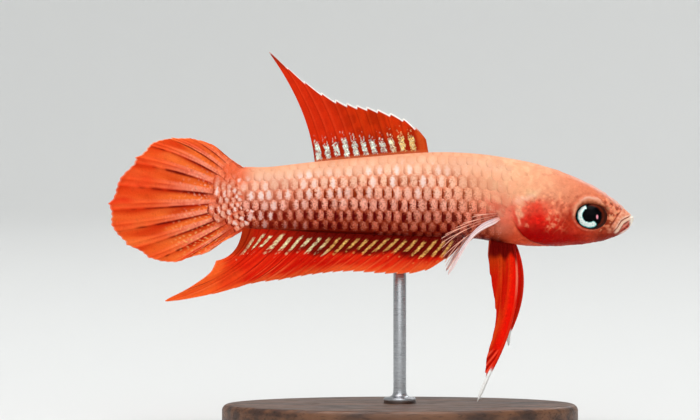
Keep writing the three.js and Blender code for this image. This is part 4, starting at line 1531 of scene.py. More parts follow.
CAUDAL = {
    "rays": 14,
    "mesh": (18, 150),
    "scallop": caudal_scallop,
    "notch": 0.7,
    "split": 0.4,
    "band": 0.21,
    "pleat": 0.18,
    "crease": 0.085,
    "half": caudal_half,
    "root": caudal_root,
    "tip": lambda u: across(CAUDAL_TIP(u)[0], 0, CAUDAL_TIP(u)[1]),
    "bow": lambda u: across(-0.4, 0, np.where(u < 0.5, 1.7, 0.8) * np.sin(2 * np.pi * u)),
    "sway": lambda u, t: across(0, 0.55 * t * t * np.sin(3.4 * np.pi * u), 0),
}
fin_piece("tail_fin", CAUDAL, caudal_paint, FIN_WEB, "fin_caudal")

# %% [markdown]
# Small uneven scales run out over the root of the tail fin and hide where it leaves the body. They
# are laid by the same helper as the body's, only along the rays.

# %% Scales on the tail's root
TAIL_ROWS = 12
TAIL_PITCH = 0.76


def tail_surface(along, row, side):
    """(points, normals) of the tail's side, which is the stump's where that is thicker than the fin.
    along is 0 at the rays' roots and falls towards the margin, row counts down from the first ray."""
    u = np.clip(0.04 + 0.92 * (row + 0.5) / TAIL_ROWS, 0.01, 0.99) + 0 * along
    length = np.linalg.norm(CAUDAL["tip"](u) - CAUDAL["root"](u), axis=-1)
    v = np.maximum(-along / length, 0)
    points = fan_sheet(CAUDAL, u, -along / length)[0]
    x, z = points[..., 0], points[..., 2]
    _, back, belly, half, widest, _ = SECTIONS(section_at(x))
    reach = np.maximum(np.where(z > widest, back - widest, widest - belly) - COAT_DEPTH, 0.01)
    stump = (half - COAT_DEPTH) * np.sqrt(np.clip(1 - ((z - widest) / reach) ** 2, 0, 1))
    points[..., 1] += side * np.maximum(CAUDAL["half"](u, v), stump)
    return points, np.broadcast_to([0.0, side, 0.0], points.shape)


def tail_looks(points):
    """The looks of the tail's small plates: pink to cream, redder below, and like the rays where the
    coat runs out."""
    x, _, z = points.T
    patchy = ripple(48, 0.7, x, z)
    out = step(-22.2, -24.4, x + 0.6 * patchy)
    pink = paint(colour(242, 140, 108), colour(253, 186, 160), step(-0.6, 0.8, patchy))
    upper = step(1.6, 3.4, z + 0.5 * patchy)
    plain = paint(colour(240, 104, 62), colour(243, 130, 92), step(-20.5, -18.5, x))
    pale = paint(paint(pink, colour(244, 112, 72), out), plain, upper)
    middle = paint(paint(colour(226, 108, 76), colour(240, 136, 102), step(-2.5, 2.5, z)), plain, upper)
    dark = paint(paint(colour(150, 36, 14), colour(206, 84, 52), step(-1.5, 2.5, z)), plain, 0.8 * upper)
    # The last value is the plates' painted glint, off the upper and lowest rows.
    return pale, middle, dark, 0.34 + 0 * x, (0.85 - 0.6 * out) * (1 - upper) * step(-4.0, -2.6, z)


def tail_coat(name, side):
    """Small uneven scales on the root of the tail fin, as one piece."""
    rows, columns = np.meshgrid(np.arange(1, TAIL_ROWS), np.arange(9), indexing="ij")
    draw = np.random.default_rng(47 + side)
    edge = 0.5 - TAIL_PITCH * (columns + 0.5 * (rows % 2)) + draw.uniform(-0.12, 0.12, rows.shape)
    reach = 2.0 + 1.6 * np.sin(np.pi * (rows + 0.5) / TAIL_ROWS) + draw.uniform(-0.8, 0.6, rows.shape)
    x, _, z = np.moveaxis(tail_surface(edge, rows, side)[0], -1, 0)
    keep = (-edge < reach) & (x < mix(-20.2, -18.6, step(0.4, -1.6, z)))
    edge, rows = edge[keep], rows[keep] + draw.uniform(-0.16, 0.16, keep.sum())

    def flat_place(middle, row):
        """A plate's place in the map OFBake."""
        return 0.5 + (middle[:, 0] + 21) / 20, 0.1 + 0.8 * row / TAIL_ROWS

    def rise(middle):
        """How far a plate's free edge stands off the tail, in millimetres."""
        return 0.03 + 0 * middle[:, 0]

    lay_plates(name, side, tail_surface, edge, rows, TAIL_PITCH, 1.35, rise, tail_looks, flat_place)


tail_coat("tail_scales_right", -1)
tail_coat("tail_scales_left", 1)

# %% [markdown]
# Dorsal and anal fin carry pearly or golden patches, one between each two rays. They are too ragged
# for a plain band of colour, so each patch has its own length, and noise gnaws at its edges.


# %% Pearly patches
def patches(seed, w, rays, low, high, half_width):
    """Granular patches of pearly cells in the webs: each lies midway between two rays, from about
    low to about high millimetres along, has ragged edges, and ends in a few loose specks."""
    draw = np.random.default_rng(seed)
    web = np.minimum(w.place.astype(int), rays - 2)
    start, end = draw.uniform(-0.2, 0.25, (2, rays - 1))
    grain = ripple(seed + 1, 0.28, w.x, w.z)
    coarse = ripple(seed + 2, 0.6, w.x, w.z)
    off_middle = np.abs(w.place - web - 0.5)
    width = half_width * (1 + 0.2 * coarse + 0.15 * grain)
    low, high = low + start[web], high + 2.6 * end[web] + 0.3 * grain
    body = (1 - step(0.8, 1.15, off_middle / width)) * step(low - 0.1, low + 0.15, w.far + 0.15 * grain)
    body = body * (1 - step(high - 0.25, high + 0.1, w.far)) * step(-1.5, -0.9, coarse + 0.3 * grain)
    specks = step(0.45, 0.8, ripple(seed + 3, 0.42, w.x, 0.6 * w.z))
    specks = specks * (1 - step(0.7, 1.2, off_middle / half_width))
    specks = specks * step(high - 0.3, high, w.far) * (1 - step(high + 0.5, high + 1.3, w.far))
    return np.maximum(body, 0.8 * specks)

# %% [markdown]
# The dorsal fin climbs from a low front edge to a long point over the last rays. A broken row of
# pearly patches lies between the rays near its root, and a thin white line follows its margin.

# %% Dorsal fin
DORSAL_TIP = through(
    [
        [0, 3.15, 7.9],
        [0.08, 1.75, 9.25],
        [0.17, 0.1, 10.35],
        [0.33, -2.95, 11.35],
        [0.67, -8.3, 12.6],
        [0.83, -12.1, 14.95],
        [1, -16.45, 18.65],
    ]
)
DORSAL_FRONT, DORSAL_REAR = 3.6, -10.5
ROOT_DEPTH = 0.6  # how far a fin's root starts inside the body


def dorsal_root(u):
    """Roots inside the back, from the front ray to the last."""
    x = mix(DORSAL_FRONT, DORSAL_REAR, u)
    return across(x, 0, back_at(x) - ROOT_DEPTH)


def dorsal_paint(w):
    """Deep orange-red with faint rays, pearly patches low down, and a white line on the margin."""
    shown = w.far - ROOT_DEPTH
    streak = ripple(70, 1.0, 1.5 * w.place, 0.1 * w.far)
    cloud = step(-0.6, 0.8, ripple(66, 2.2, w.x, w.z) + 0.5 * streak)
    tint = paint(colour(184, 40, 2), colour(212, 50, 6), cloud)
    tint = paint(tint, colour(216, 42, 10), 0.75 * step(0.45, 0.85, w.u))
    tint = paint(tint, colour(236, 72, 34), 0.3 * w.ray * step(0.25, 0.5, w.v) * step(0.4, 0.8, w.u))
    tint = paint(tint, colour(216, 64, 14), 0.35 * w.ray * (1 - step(0.4, 0.8, w.u)))
    # Painted shade in the crease at the foot of each pleat.
    tint = paint(tint, colour(130, 14, 0), 0.4 * w.line)
    low_down = (1 - step(1.6, 3.0, shown + 0.3 * streak)) * step(0.05, 0.1, w.u)
    tint = paint(tint, colour(146, 28, 6), 0.75 * low_down)
    high = mix(1.5, 2.2, step(0.15, 0.6, w.u)) + ROOT_DEPTH
    pearl = patches(67, w, 13, 0.85, high, 0.27) * step(0.07, 0.09, w.u)
    tone = ripple(68, 0.5, w.x, w.z)[..., None]
    cream = paint(colour(250, 214, 140), colour(232, 236, 222), step(0.18, 0.4, w.u))
    cream = cream + 0.08 * tone * [-1, 0.3, 1]
    cream = cream * (0.85 + 0.2 * ripple(69, 0.2, w.x, w.z))[..., None]
    tint = paint(tint, np.clip(cream, 0, 1), 0.95 * pearl)
    tint = paint(tint, colour(206, 108, 66), 0.7 * (1 - step(0.0, 0.4, shown)))
    tint = paint(tint, colour(200, 82, 30), 0.65 * (1 - step(0.06, 0.09, w.u)) * (1 - 0.6 * w.line))
    tint = paint(tint, colour(116, 34, 16), 0.7 * step(0.85, 1.0, w.v) * step(0.9, 0.97, w.u))
    white = (1 - step(0.19, 0.3, w.left)) * step(0.04, 0.1, w.u) * (1 - 0.6 * step(0.88, 0.97, w.u))
    return paint(tint, colour(255, 250, 244), white), 1.2 * pearl


DORSAL = {
    "rays": 13,
    "mesh": (16, 90),
    "scallop": saw,
    "notch": 0.42,
    "split": 0.5,
    "band": 0.12,
    "pleat": 0.1,
    "crease": 0.06,
    "half": taper(0.22, 0.06, 0.6),
    "root": dorsal_root,
    "tip": lambda u: across(DORSAL_TIP(u)[0], 0, DORSAL_TIP(u)[1]),
    "bow": lambda u: across(2.5 * u**3, 0, -0.3 * u**3),
    "sway": lambda u, t: across(0, 0.5 * t * t * np.sin(2.6 * np.pi * u + 0.6), 0),
}
fin_piece("dorsal_fin", DORSAL, dorsal_paint, FIN_WEB, "fin_dorsal")

# %% [markdown]
# The anal fin runs under half the body and ends in a point that streams back below the tail. Along
# its root it is almost black-red, with a gold streak between each two rays, then bright red.

# %% Anal fin
ANAL = through(
    [  # share from the first ray to the last, root along X, tip's x and z, bow
        [0, 8.0, 7.3, -5.9, 0.1],
        [0.03, 7.6, 5.9, -7.15, 0.2],
        [0.07, 6.9, 3.4, -8.65, 0.4],
        [0.12, 5.8, 1.0, -9.15, 0.6],
        [0.2, 3.6, -1.9, -9.15, 0.7],
        [0.35, -0.6, -6.6, -8.9, 0.7],
        [0.5, -4.9, -11.2, -9.3, 0.8],
        [0.62, -8.3, -15.2, -9.95, 1.0],
        [0.7, -10.6, -18.4, -10.35, 1.3],
        [0.76, -12.3, -21.4, -11.2, 1.8],
        [0.8, -13.4, -24.4, -11.9, 2.2],
        [0.845, -14.7, -29.0, -12.5, 2.8],
        [0.89, -16.0, -26.0, -10.8, 2.5],
        [0.93, -17.2, -23.6, -9.1, 2.3],
        [0.965, -18.3, -22.95, -8.1, 2.2],
        [1, -19.4, -22.7, -7.5, 2.2],
    ]
)


def anal_root(u):
    """Roots inside the belly, from the front ray to the last."""
    x = ANAL(u)[0]
    return across(x, 0, belly_at(x) + ROOT_DEPTH)


def anal_paint(w):
    """Maroon at the root, gold streaks between the rays, then red that turns orange at the margin."""
    shown = w.far - 0.8
    wave = ripple(71, 3.0, w.x, w.z)
    streak = ripple(77, 1.0, 1.3 * w.place, 0.14 * w.far)
    rear = step(-9.0, -18.0, w.x)
    edge = step(2.4, 0.3, w.left + 0.5 * wave + 0.5 * streak)
    tint = paint(colour(222, 22, 4), colour(240, 44, 14), step(-0.7, 0.7, streak))
    tint = paint(tint, colour(255, 100, 44), 0.82 * edge)
    tint = paint(tint, colour(255, 102, 38), 0.8 * step(-18.5, -24.0, w.x + 0.8 * wave))
    tint = paint(tint, colour(176, 60, 16), 0.7 * step(-17.5, -19.0, w.x) * step(-6.8, -5.4, w.z))
    tint = paint(tint, colour(255, 110, 62), 0.45 * w.ray * step(0.4, 0.8, w.v) * (0.5 + 0.5 * streak))
    every_other = mix(1.0, 0.35 + 0.65 * (np.round(w.place) % 2), step(-12.0, -18.0, w.x))
    # Painted shade in the crease at the foot of each pleat, stronger towards the rear.
    crease = np.clip(w.line * mix(0.45, 1.1, rear) * every_other * (0.8 + 0.4 * streak), 0, 1)
    tint = paint(tint, colour(150, 14, 0), crease * (1 - 0.5 * edge))
    dark = (1 - step(2.4, 3.5, shown + 0.4 * wave + 0.2 * streak)) * mix(1.0, 0.5, rear)
    tint = paint(tint, paint(colour(108, 8, 2), colour(146, 22, 2), rear), 0.95 * dark)
    gold = patches(72, w, 25, 1.3, 3.4, 0.18) * step(0.03, 0.07, w.u) * (1 - step(0.92, 0.96, w.u))
    cream = step(-6.5, -12.5, w.x + 2.0 * ripple(73, 6.0, w.x, w.z))
    gold_tint = paint(colour(244, 178, 96), colour(255, 228, 174), cream)
    gold_tint = gold_tint * (1.0 + 0.35 * ripple(74, 0.3, w.x, w.z))[..., None]
    tint = paint(tint, np.clip(gold_tint, 0, 1), 0.95 * gold)
    rim = (1 - step(0.06, 0.2, w.left)) * (0.4 + 0.6 * w.ray)
    rim = np.maximum(rim, step(-34.4, -35.8, w.x + 0.4 * streak))
    return paint(tint, colour(255, 172, 132), 0.8 * rim), 0.8 * gold


ANAL_FIN = {
    "rays": 25,
    "mesh": (12, 84),
    "scallop": lambda f, u: saw(f, u) * (1 - step(0.8, 0.86, u)),
    "notch": 0.42,
    "split": 0.55,
    "band": 0.14,
    "pleat": 0.12,
    "crease": 0.07,
    "half": taper(0.22, 0.05, 0.6),
    "root": anal_root,
    "tip": lambda u: across(ANAL(u)[1], 0, ANAL(u)[2]),
    "bow": lambda u: across(0.6 * ANAL(u)[3], 0, -0.8 * ANAL(u)[3]),
    "sway": lambda u, t: across(0, -0.45 * t * t * np.sin(3.2 * np.pi * u - 0.4), 0),
}
fin_piece("anal_fin", ANAL_FIN, anal_paint, FIN_WEB, "fin_anal")

# %% [markdown]
# Thick rays and threads stand out from their webs, so they are rods of their own. A curve with a
# bevel would do, but a mesh takes a radius and a colour at each point.


# %% Rods
def rods(name, paths, radii, tints, material, flat=1.0, sides=12):
    """Long thin round pieces as one mesh: a circle carried along each path of points (n, count, 3),
    with a radius and a colour at each point. flat squeezes it across Y. The ends are capped."""
    number, count = paths.shape[:2]
    way = unit(np.gradient(paths, axis=1))
    side = unit(np.cross(way, [0.0, 1.0, 0.0]))
    up = np.cross(side, way)
    turn = np.linspace(0, 2 * np.pi, sides, endpoint=False)[:, None]
    ring = np.cos(turn) * side[..., None, :] + flat * np.sin(turn) * up[..., None, :]
    points = paths[..., None, :] + np.broadcast_to(radii, (number, count))[..., None, None] * ring
    first = (np.arange(number) * count * sides)[:, None, None]
    end = (count - 1) * sides
    tube = grid_faces(count, sides, closed=True)[:, ::-1]
    shapes = [tube, np.arange(sides)[None], end + np.arange(sides)[None, ::-1]]
    faces = [(shape[None] + first).reshape(-1, shape.shape[1]) for shape in shapes]
    tint = np.broadcast_to(tints[:, :, None, :], (number, count, sides, 3)).reshape(-1, 3)
    return make_piece(name, points.reshape(-1, 3), faces, material, (), {"tint": tint})

# %% [markdown]
# The pelvic fins hang from the breast as two narrow blades. The first ray of each is thick and runs on
# past the web as a white thread; on the right fin its front is pale with a painted highlight. The
# right one hangs almost straight down, and the left one swings forward and out.

# %% Outline of the pelvic fins
PELVIC_TIP = through(
    [
        [0, -1.35, -16.3],
        [0.05, -1.75, -17.4],
        [0.14, -1.97, -16.8],
        [0.28, -1.84, -14.9],
        [0.45, -1.13, -12.4],
        [0.62, -0.62, -9.6],
        [0.75, -0.83, -7.4],
        [0.88, -1.3, -4.4],
        [1, -1.6, -1.9],
    ]
)
PELVIC_ROOT = np.array([12.4, 0.75, -4.9])
PELVIC_HALF_ROOT = 1.45


def pelvic_scallop(f, u):
    """A ragged margin: hollows of uneven depth between the ray tips."""
    return 0.5 + (0.4 * np.sin(61 * u) + 0.25 * np.sin(97 * u)) * np.sin(np.pi * f) ** 0.5


def pelvic_fin(side, swing, splay, length, thread_end, bow):
    """(fin, its thread's path): a fin turned forwards by swing degrees about Y and outwards by splay
    about X, and the thread that its first ray runs on into."""
    swing, splay = math.radians(-swing), math.radians(side * splay)

    def turn(x, z):
        """A place in the fin's own plane, swung and splayed."""
        forward = x * math.cos(swing) + z * math.sin(swing)
        down = z * math.cos(swing) - x * math.sin(swing)
        return across(forward, -down * math.sin(splay), down * math.cos(splay))

    root = PELVIC_ROOT * [1, side, 1]
    fin = {
        "rays": 6,
        "mesh": (20, 130),
        "scallop": pelvic_scallop,
        "notch": 0.36,
        "split": 0.45,
        "band": 0.12,
        "pleat": 0.02,
        "crease": 0.05,
        "half": taper(0.26, 0.06, 0.6),
        "root": lambda u: turn(mix(PELVIC_HALF_ROOT, -PELVIC_HALF_ROOT, u), 0 * u) + root,
        "tip": lambda u: turn(PELVIC_TIP(u)[0], PELVIC_TIP(u)[1] * length) + root,
        "bow": lambda u: turn(bow * (1 - u) ** 1.5, 0 * u),
        "sway": lambda u, t: across(0, 0.25 * t * t * np.sin(4 * u), 0),
    }
    along = np.linspace(0.03, 1, 60)
    thread = fan_sheet(fin, 0 * along, along)[0]
    on = np.linspace(0, 1, 14)[1:, None]
    end = turn(np.array([thread_end[0]]), np.array([thread_end[1]]))[0] + root
    bend = (thread[-1] - thread[-2]) / np.linalg.norm(thread[-1] - thread[-2]) * 0.9
    curve = (1 - on) ** 2 * thread[-1] + 2 * on * (1 - on) * (thread[-1] + bend) + on**2 * end
    return fin, np.vstack([thread, curve])


print("roots of the pelvic fins", PELVIC_ROOT.tolist())

# %% [markdown]
# Web and first ray are painted apart: the blade is deep red at its root, painted shade under the body,
# and bright red along its front, a painted glow of light through the thin web, and the ray turns white
# where it leaves the blade.


# %% Pelvic fins
def pelvic_paint(w):
    """Maroon at the root, painted shade under the body, then orange-red in long soft streaks with a bright
    red front, a painted glow of light through the blade, bands that slant near the tip, and a pale
    ragged trailing edge."""
    streak = ripple(75, 1.1, w.u * 4.0, 0.12 * w.far)
    tint = paint(colour(206, 20, 0), colour(222, 62, 14), step(-0.3, 0.8, streak))
    tint = paint(tint, colour(200, 62, 8), 0.7 * step(4.6, 1.8, w.far + 0.6 * streak) * step(0.2, 0.5, w.u))
    # Painted glow: the front of the blade brighter red, as light through the thin web.
    tint = paint(tint, colour(250, 16, 0), 0.8 * (1 - step(0.1, 0.3, w.u)))
    slant = np.sin(2 * np.pi * (0.9 * w.x - 0.75 * w.z) / 0.62 + streak) * step(-17.8, -18.8, w.z)
    tint = paint(tint, colour(130, 16, 2), 0.75 * step(0.1, 0.8, slant))
    tint = paint(tint, colour(246, 104, 70), 0.6 * step(0.3, 0.9, -slant))
    # Painted shade: the root, dark maroon, under the body.
    tint = paint(tint, colour(112, 4, 0), 1 - step(1.7, 2.6, w.far + 0.25 * streak))
    edge = (1 - step(0.08, 0.3, w.side)) * step(0.5, 0.6, w.u)
    return paint(tint, colour(244, 96, 60), 0.5 * edge), 0.15


def pelvic_set(label, side, swing, splay, length, thread_end, bow):
    """One pelvic fin and its first ray: dark at its root as painted shade, then on the right fin pinkish
    with a painted highlight and on the left red, then red, and white on the thread.
    """
    fin, thread = pelvic_fin(side, swing, splay, length, thread_end, bow)
    fin_piece(f"pelvic_fin_{label}", fin, pelvic_paint, FIN_WEB, f"fin_pelvic_{label}")
    far = np.linspace(0, 1, len(thread))
    # Painted highlight on the front of the right fin's first ray; the left fin's is plain red.
    front_highlight = colour(250, 112, 84) if side < 0 else colour(240, 40, 20)
    # The ray's dark root is painted shade, as on the blade.
    tint = paint(colour(150, 14, 6), front_highlight, step(0.08, 0.16, far))
    tint = paint(tint, colour(230, 40, 16), step(0.22, 0.4, far))
    tint = paint(tint, colour(255, 255, 252), step(0.8, 0.83, far))
    radii = mix(0.16, 0.22, far) * np.sqrt(np.clip((1 - far) / 0.04, 0.1, 1))
    rods(f"pelvic_ray_{label}", thread[None], radii, tint[None], FIN_WEB)


pelvic_set("right", -1, swing=0, splay=7, length=1.0, thread_end=(-2.9, -19.9), bow=3.2)
pelvic_set("left", 1, swing=11.5, splay=34, length=0.87, thread_end=(-1.9, -16.4), bow=2.95)

# %% [markdown]
# The pectoral fins are clear: only the thin pinkish rays show, with a whitish bundle along the lower
# edge. The web's finish lets light straight through, all but the share that the field `cover` says.

# %% Web of the pectoral fins
PECTORAL_TIP = through(
    [
        [0, 9.0, -1.75, 4.1],
        [0.2, 7.1, -3.05, 4.6],
        [0.4, 5.0, -4.45, 5.2],
        [0.6, 4.9, -5.5, 5.5],
        [0.8, 5.2, -7.3, 5.8],
        [1, 5.8, -8.9, 5.8],
    ]
)
PECTORAL_RAYS = 6


def pectoral_fin(side):
    """A pectoral fin, from its upper ray to the thick lower one."""
    return {
        "rays": PECTORAL_RAYS,
        "mesh": (12, 48),
        "scallop": hollow,
        "notch": 0.2,
        "split": 0.4,
        "band": 0.08,
        "pleat": 0.0,
        "crease": 0.05,
        "half": taper(0.1, 0.02, 0.6),
        "root": lambda u: across(mix(12.5, 12.0, u), side * 3.3, mix(-1.5, -2.6, u)),
        "tip": lambda u: across(PECTORAL_TIP(u)[0], side * PECTORAL_TIP(u)[2], PECTORAL_TIP(u)[1]),
        "bow": lambda u: across(-1.2 * u, side * 0.3, 1.3 * u),
        "sway": lambda u, t: across(0 * u, 0, 0),
    }


def pectoral_paint(w):
    """Pale salmon web, paler towards the lower edge."""
    return paint(colour(255, 190, 170), colour(240, 216, 216), step(0.7, 1.0, w.u)), 0.0


def pectoral_cover(w):
    """How solid the web is: hardly at all, but for its root."""
    return 0.015 + 0.4 * (1 - step(0.0, 0.08, w.v))


def clear_fin_material():
    """Clear web: the tint, with its own cover for the alpha."""
    material, tree, shader, place = new_material("clear_fin")
    tint = field(tree, "tint")
    links = {"Colour": tint, "Place": place, "Scale": 1800.0, "Dark": 0.1, "Light": 0.25}
    looks = {
        "Base Color": placed(tree, MOTTLE, links).outputs[0],
        "Roughness": 0.35,
        "Specular IOR Level": 0.25,
        "Alpha": field(tree, "cover", "Fac"),
    }
    join(tree, shader, looks)
    return material


CLEAR_FIN = clear_fin_material()
print("clear finish of", len(CLEAR_FIN.node_tree.nodes), "nodes")

# %% [markdown]
# The rays could be drawn on the web, but they have to stay solid while the web is clear. So they are
# thin rods on the same sheet, and the bundle is four rods side by side.

# %% Pectoral fins
PECTORAL_EDGE = through(
    [  # share along, x, z, distance from the midplane, half width
        [0, 12.7, -1.9, 3.0, 0.12],
        [0.12, 11.5, -2.5, 3.7, 0.34],
        [0.25, 10.2, -3.1, 4.2, 0.36],
        [0.4, 9.0, -4.0, 4.75, 0.26],
        [0.6, 8.0, -5.3, 5.3, 0.2],
        [0.8, 7.05, -6.9, 5.65, 0.17],
        [0.92, 6.4, -8.1, 5.8, 0.13],
        [1, 5.8, -9.0, 5.85, 0.04],
    ]
)


def pectoral_rays(side):
    """Paths of the thin rays: each is two strands that lie together at the root and part half way."""
    fin = pectoral_fin(side)
    along = np.linspace(0.0, 0.99, 28)
    first = np.repeat(np.arange(PECTORAL_RAYS), 2)[:, None] / (PECTORAL_RAYS - 1)
    part = np.tile([-1, 1], PECTORAL_RAYS)[:, None] * 0.2 / (PECTORAL_RAYS - 1) * step(0.5, 1.0, along)
    return fan_sheet(fin, np.clip(first + part, 0, 1), np.broadcast_to(along, (2 * PECTORAL_RAYS, 28)))[0]


def pectoral_set(label, side):
    """One pectoral fin: its clear web, its thin rays, and the whitish bundle along its lower edge."""
    fin_piece(
        f"pectoral_fin_{label}",
        pectoral_fin(side),
        pectoral_paint,
        CLEAR_FIN,
        f"fin_pectoral_{label}",
        pectoral_cover,
    )
    strands = pectoral_rays(side)
    share = np.linspace(0, 1, strands.shape[1])
    tint = paint(colour(248, 150, 122), colour(252, 184, 160), step(0.0, 0.6, share))
    rods(f"pectoral_rays_{label}", strands, mix(0.06, 0.03, share), tint[None], FIN_WEB, sides=6)
    along = np.linspace(0, 1, 60)
    x, z, out, half = PECTORAL_EDGE(along)
    edge = across(x, side * out, z)
    apart = np.cross(unit(np.gradient(edge, axis=0)), [0.0, 1.0, 0.0]) * 0.6 * half[:, None]
    strands = edge + np.array([-1, -0.33, 0.33, 1])[:, None, None] * apart
    tones = colour(*np.array([[214, 184, 186], [242, 214, 212], [224, 192, 194], [252, 226, 222]]).T)
    tint = paint(colour(244, 158, 134), tones[:, None], step(0.02, 0.16, along))
    rods(f"pectoral_edge_{label}", strands, 0.4 * half, tint, FIN_WEB, flat=0.6)


pectoral_set("right", -1)
pectoral_set("left", 1)

# %% [markdown]
# ## The stand
# A turned form is a profile carried round an axis. The base is one with an oval plan, in oiled dark
# wood, and the rod is a steel one with a small foot. Both keep the solids' own sizes.


# %% Turned forms
def turned(profile, centre, stretch, count):
    """(points, faces) of a profile of (radius, height) rows carried round an upright axis, with the
    plan stretched by two factors. The profile starts and ends on the axis, which become poles."""
    profile = np.array(profile, float)
    turn = np.linspace(0, 2 * np.pi, count, endpoint=False)
    ring = profile[1:-1]
    x = centre[0] + stretch[0] * ring[:, :1] * np.cos(turn)
    y = centre[1] + stretch[1] * ring[:, :1] * np.sin(turn)
    z = np.broadcast_to(ring[:, 1:], x.shape)
    points = np.stack([x, y, z], -1).reshape(-1, 3)
    poles = np.array([[*centre, profile[0, 1]], [*centre, profile[-1, 1]]])
    around = np.arange(count)
    last = (len(ring) - 1) * count + around
    bottom = np.stack([np.full(count, len(points)), np.roll(around, -1), around], -1)
    top = np.stack([np.full(count, len(points) + 1), last, np.roll(last, -1)], -1)
    return np.vstack([points, poles]), [grid_faces(len(ring), count, closed=True), bottom, top]


def rounded(outer, height, radius, start, end, count=8):
    """Points of a quarter round on a profile, between two angles in degrees about its own centre."""
    angles = np.radians(np.linspace(start, end, count))
    return [[outer + radius * math.cos(a), height + radius * math.sin(a)] for a in angles]


print("points of a quarter round:", len(rounded(0, 0, 1, 0, 90)))

# %% [markdown]
# Walnut has long dark grain and fine pores, and brushed steel has fine rings round the rod. Noise
# stretched one way gives both, and unlike an image it never repeats.


# %% Wood and steel
def wood_material():
    """Oiled walnut: dark long grain, from noise stretched along X, with fine pores."""
    material, tree, shader, place = new_material("stand_wood")
    grain_place = add(tree, "ShaderNodeMapping", {"Vector": place, "Scale": (90.0, 700.0, 700.0)}).outputs[0]
    rings = noise(tree, grain_place, 1.0, detail=4.0)
    pores = noise(tree, grain_place, 5.0, detail=2.0)
    base = blend_colour(tree, ramp(tree, rings, 0.35, 0.65), shade(58, 34, 22), shade(112, 72, 46))
    base = blend_colour(tree, ramp(tree, pores, 0.55, 0.7, 0.0, 0.6), base, shade(30, 17, 11))
    join(tree, shader, {"Base Color": base, "Roughness": ramp(tree, pores, 0.4, 0.7, 0.38, 0.6)})
    bump(tree, shader, pores, 0.00003)
    return material


def steel_material():
    """Brushed steel: fine rings round the rod, from noise squeezed along Z."""
    material, tree, shader, place = new_material("stand_steel")
    links = {"Vector": place, "Scale": (300.0, 300.0, 14000.0)}
    brush_place = add(tree, "ShaderNodeMapping", links).outputs[0]
    brush = noise(tree, brush_place, 1.0, detail=2.0)
    base = blend_colour(tree, brush, shade(150, 152, 156), shade(196, 198, 202))
    rough = ramp(tree, brush, 0.3, 0.7, 0.24, 0.4)
    join(tree, shader, {"Base Color": base, "Roughness": rough, "Metallic": 1.0})
    bump(tree, shader, brush, 0.000008)
    return material


WOOD, STEEL = wood_material(), steel_material()
print("finishes of the stand:", WOOD.name, STEEL.name)

# %% [markdown]
# The base's top edge has a wide round and its bottom edge a narrow one, as a lathe leaves them. The
# rod's foot hides the hole that it stands in.


# %% Base and rod
def make_stand():
    """The oval base, and the rod whose top ends inside the belly's skin."""
    low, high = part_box("stand_base")
    half_length, half_width, thick = high.x * 1000, high.y * 1000, high.z * 1000
    bottom = -FISH_HEIGHT
    profile = [[0, bottom], [half_length - 0.6, bottom]]
    profile += rounded(half_length - 0.4, bottom + 0.4, 0.4, -90, 0)
    profile += rounded(half_length - 0.8, bottom + thick - 0.8, 0.8, 0, 90, 12)
    profile += [[half_length * r, bottom + thick] for r in (0.9, 0.6, 0.3)] + [[0, bottom + thick]]
    points, faces = turned(profile, (0, 0), (1, half_width / half_length), 192)
    make_piece("base", points, faces, WOOD, ["stand_base"])
    low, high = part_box("stand_rod")
    centre = ((low.x + high.x) * 500, (low.y + high.y) * 500)
    foot = bottom + thick
    foot_radius = (high.x - low.x) * 500
    profile = [[0, foot], [foot_radius, foot]]
    profile += rounded(foot_radius - 0.25, foot + 0.45, 0.25, 0, 90)
    profile += [[1.25, foot + 0.75], [0.95, foot + 0.95], [0.82, foot + 1.3], [0.8, foot + 1.8]]
    profile += [[0.8, -2.4], [0.5, -2.1], [0, -2.1]]
    points, faces = turned(profile, centre, (1, 1), 64)
    make_piece("rod", points, faces, STEEL, ["stand_rod"])


make_stand()

# %% [markdown]
# ## The room
# A pale floor, a pale world and three soft lights show the form without hard shadows. The strongest
# hangs above and a little in front, a wide one stands in front, and a weak one lifts the back. One
# lamp, or a sky, would be simpler, but the fins' relief only shows in light from above.


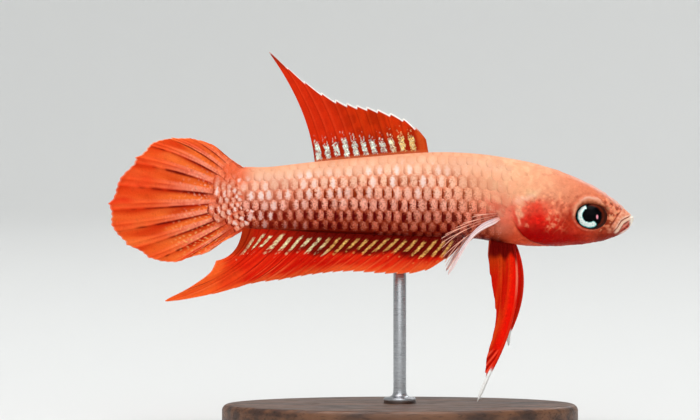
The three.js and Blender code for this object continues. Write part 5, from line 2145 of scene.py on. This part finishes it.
# %% Floor and light
def make_floor():
    """A pale studio sweep: a flat disc whose rim curves up into a wall all round, so that no horizon
    shows from any side. Its profile of (radius, height) is a line, a quarter round and a line."""
    turn = np.linspace(-np.pi / 2, 0, 24)
    radius = np.concatenate([[0.02, 0.2, 0.5], 0.95 + 0.8 * np.cos(turn), [1.75]])
    height = np.concatenate([[0, 0, 0], 0.8 + 0.8 * np.sin(turn), [2.2]])
    around = np.linspace(0, 2 * np.pi, 96, endpoint=False)
    x, y = radius[:, None] * np.cos(around), radius[:, None] * np.sin(around)
    points = np.stack([x, y, np.broadcast_to(height[:, None], x.shape)], -1).reshape(-1, 3)
    faces = [grid_faces(len(radius), 96, closed=True)[:, ::-1], np.arange(96)[None, :]]
    mesh = bpy.data.meshes.new("floor")
    mesh.from_pydata(points.tolist(), [], [face for kind in faces for face in kind.tolist()])
    mesh.polygons.foreach_set("use_smooth", np.ones(len(mesh.polygons), bool))
    material, tree, shader, _ = new_material("floor")
    join(tree, shader, {"Base Color": shade(225, 226, 225), "Roughness": 0.8})
    mesh.materials.append(material)
    floor = bpy.data.objects.new("floor", mesh)
    bpy.context.scene.collection.objects.link(floor)


def area_light(name, place, target, size, power, tint=(1, 1, 1)):
    """A square area light at a place, facing a target, both in metres."""
    data = bpy.data.lights.new(name, "AREA")
    data.size, data.energy, data.color = size, power, tint
    light = bpy.data.objects.new(name, data)
    light.location = place
    light.rotation_euler = (Vector(target) - Vector(place)).to_track_quat("-Z", "Y").to_euler()
    bpy.context.scene.collection.objects.link(light)


make_floor()
middle = (0.0, 0.0, 0.028)
area_light("overhead", (-0.1, -0.25, 1.25), middle, 1.0, 13.0)
area_light("front", (-0.1, -1.5, 0.7), middle, 1.6, 10.0)
area_light("back", (0.5, 1.1, 0.9), middle, 0.6, 3.0)
world = bpy.data.worlds.new("room")
world.use_nodes = True
world.node_tree.nodes["Background"].inputs["Color"].default_value = (0.86, 0.87, 0.88, 1)
world.node_tree.nodes["Background"].inputs["Strength"].default_value = 0.35
bpy.context.scene.world = world
bpy.context.scene.view_settings.view_transform = "Standard"
print("lights:", [light.name for light in bpy.data.lights])

# %% [markdown]
# The camera looks square at the fish's right side from a touch above. A long lens from far off keeps
# the outline free of perspective, as in a close-up through a tele lens.

# %% Camera
FRAME_WIDTH = 86.4  # millimetres of the fish that the picture spans
FRAME_CENTRE = (-6.17, -1.23)
LENS = 220.0
CAMERA_HEIGHT_ANGLE = 1.5

camera_data = bpy.data.cameras.new("camera")
camera_data.lens = LENS
camera_data.sensor_width = 36.0
camera_data.clip_start = 0.01
camera = bpy.data.objects.new("camera", camera_data)
distance = LENS * FRAME_WIDTH / 36.0 * 0.001
target = Vector((FRAME_CENTRE[0] * 0.001, 0.0, (FRAME_CENTRE[1] + FISH_HEIGHT) * 0.001))
tilt = math.radians(CAMERA_HEIGHT_ANGLE)
camera.location = target + Vector((0, -math.cos(tilt), math.sin(tilt))) * distance
camera.rotation_euler = (target - camera.location).to_track_quat("-Z", "Y").to_euler()
bpy.context.scene.collection.objects.link(camera)
bpy.context.scene.camera = camera
print(f"camera {distance:.2f} m away")

# %% [markdown]
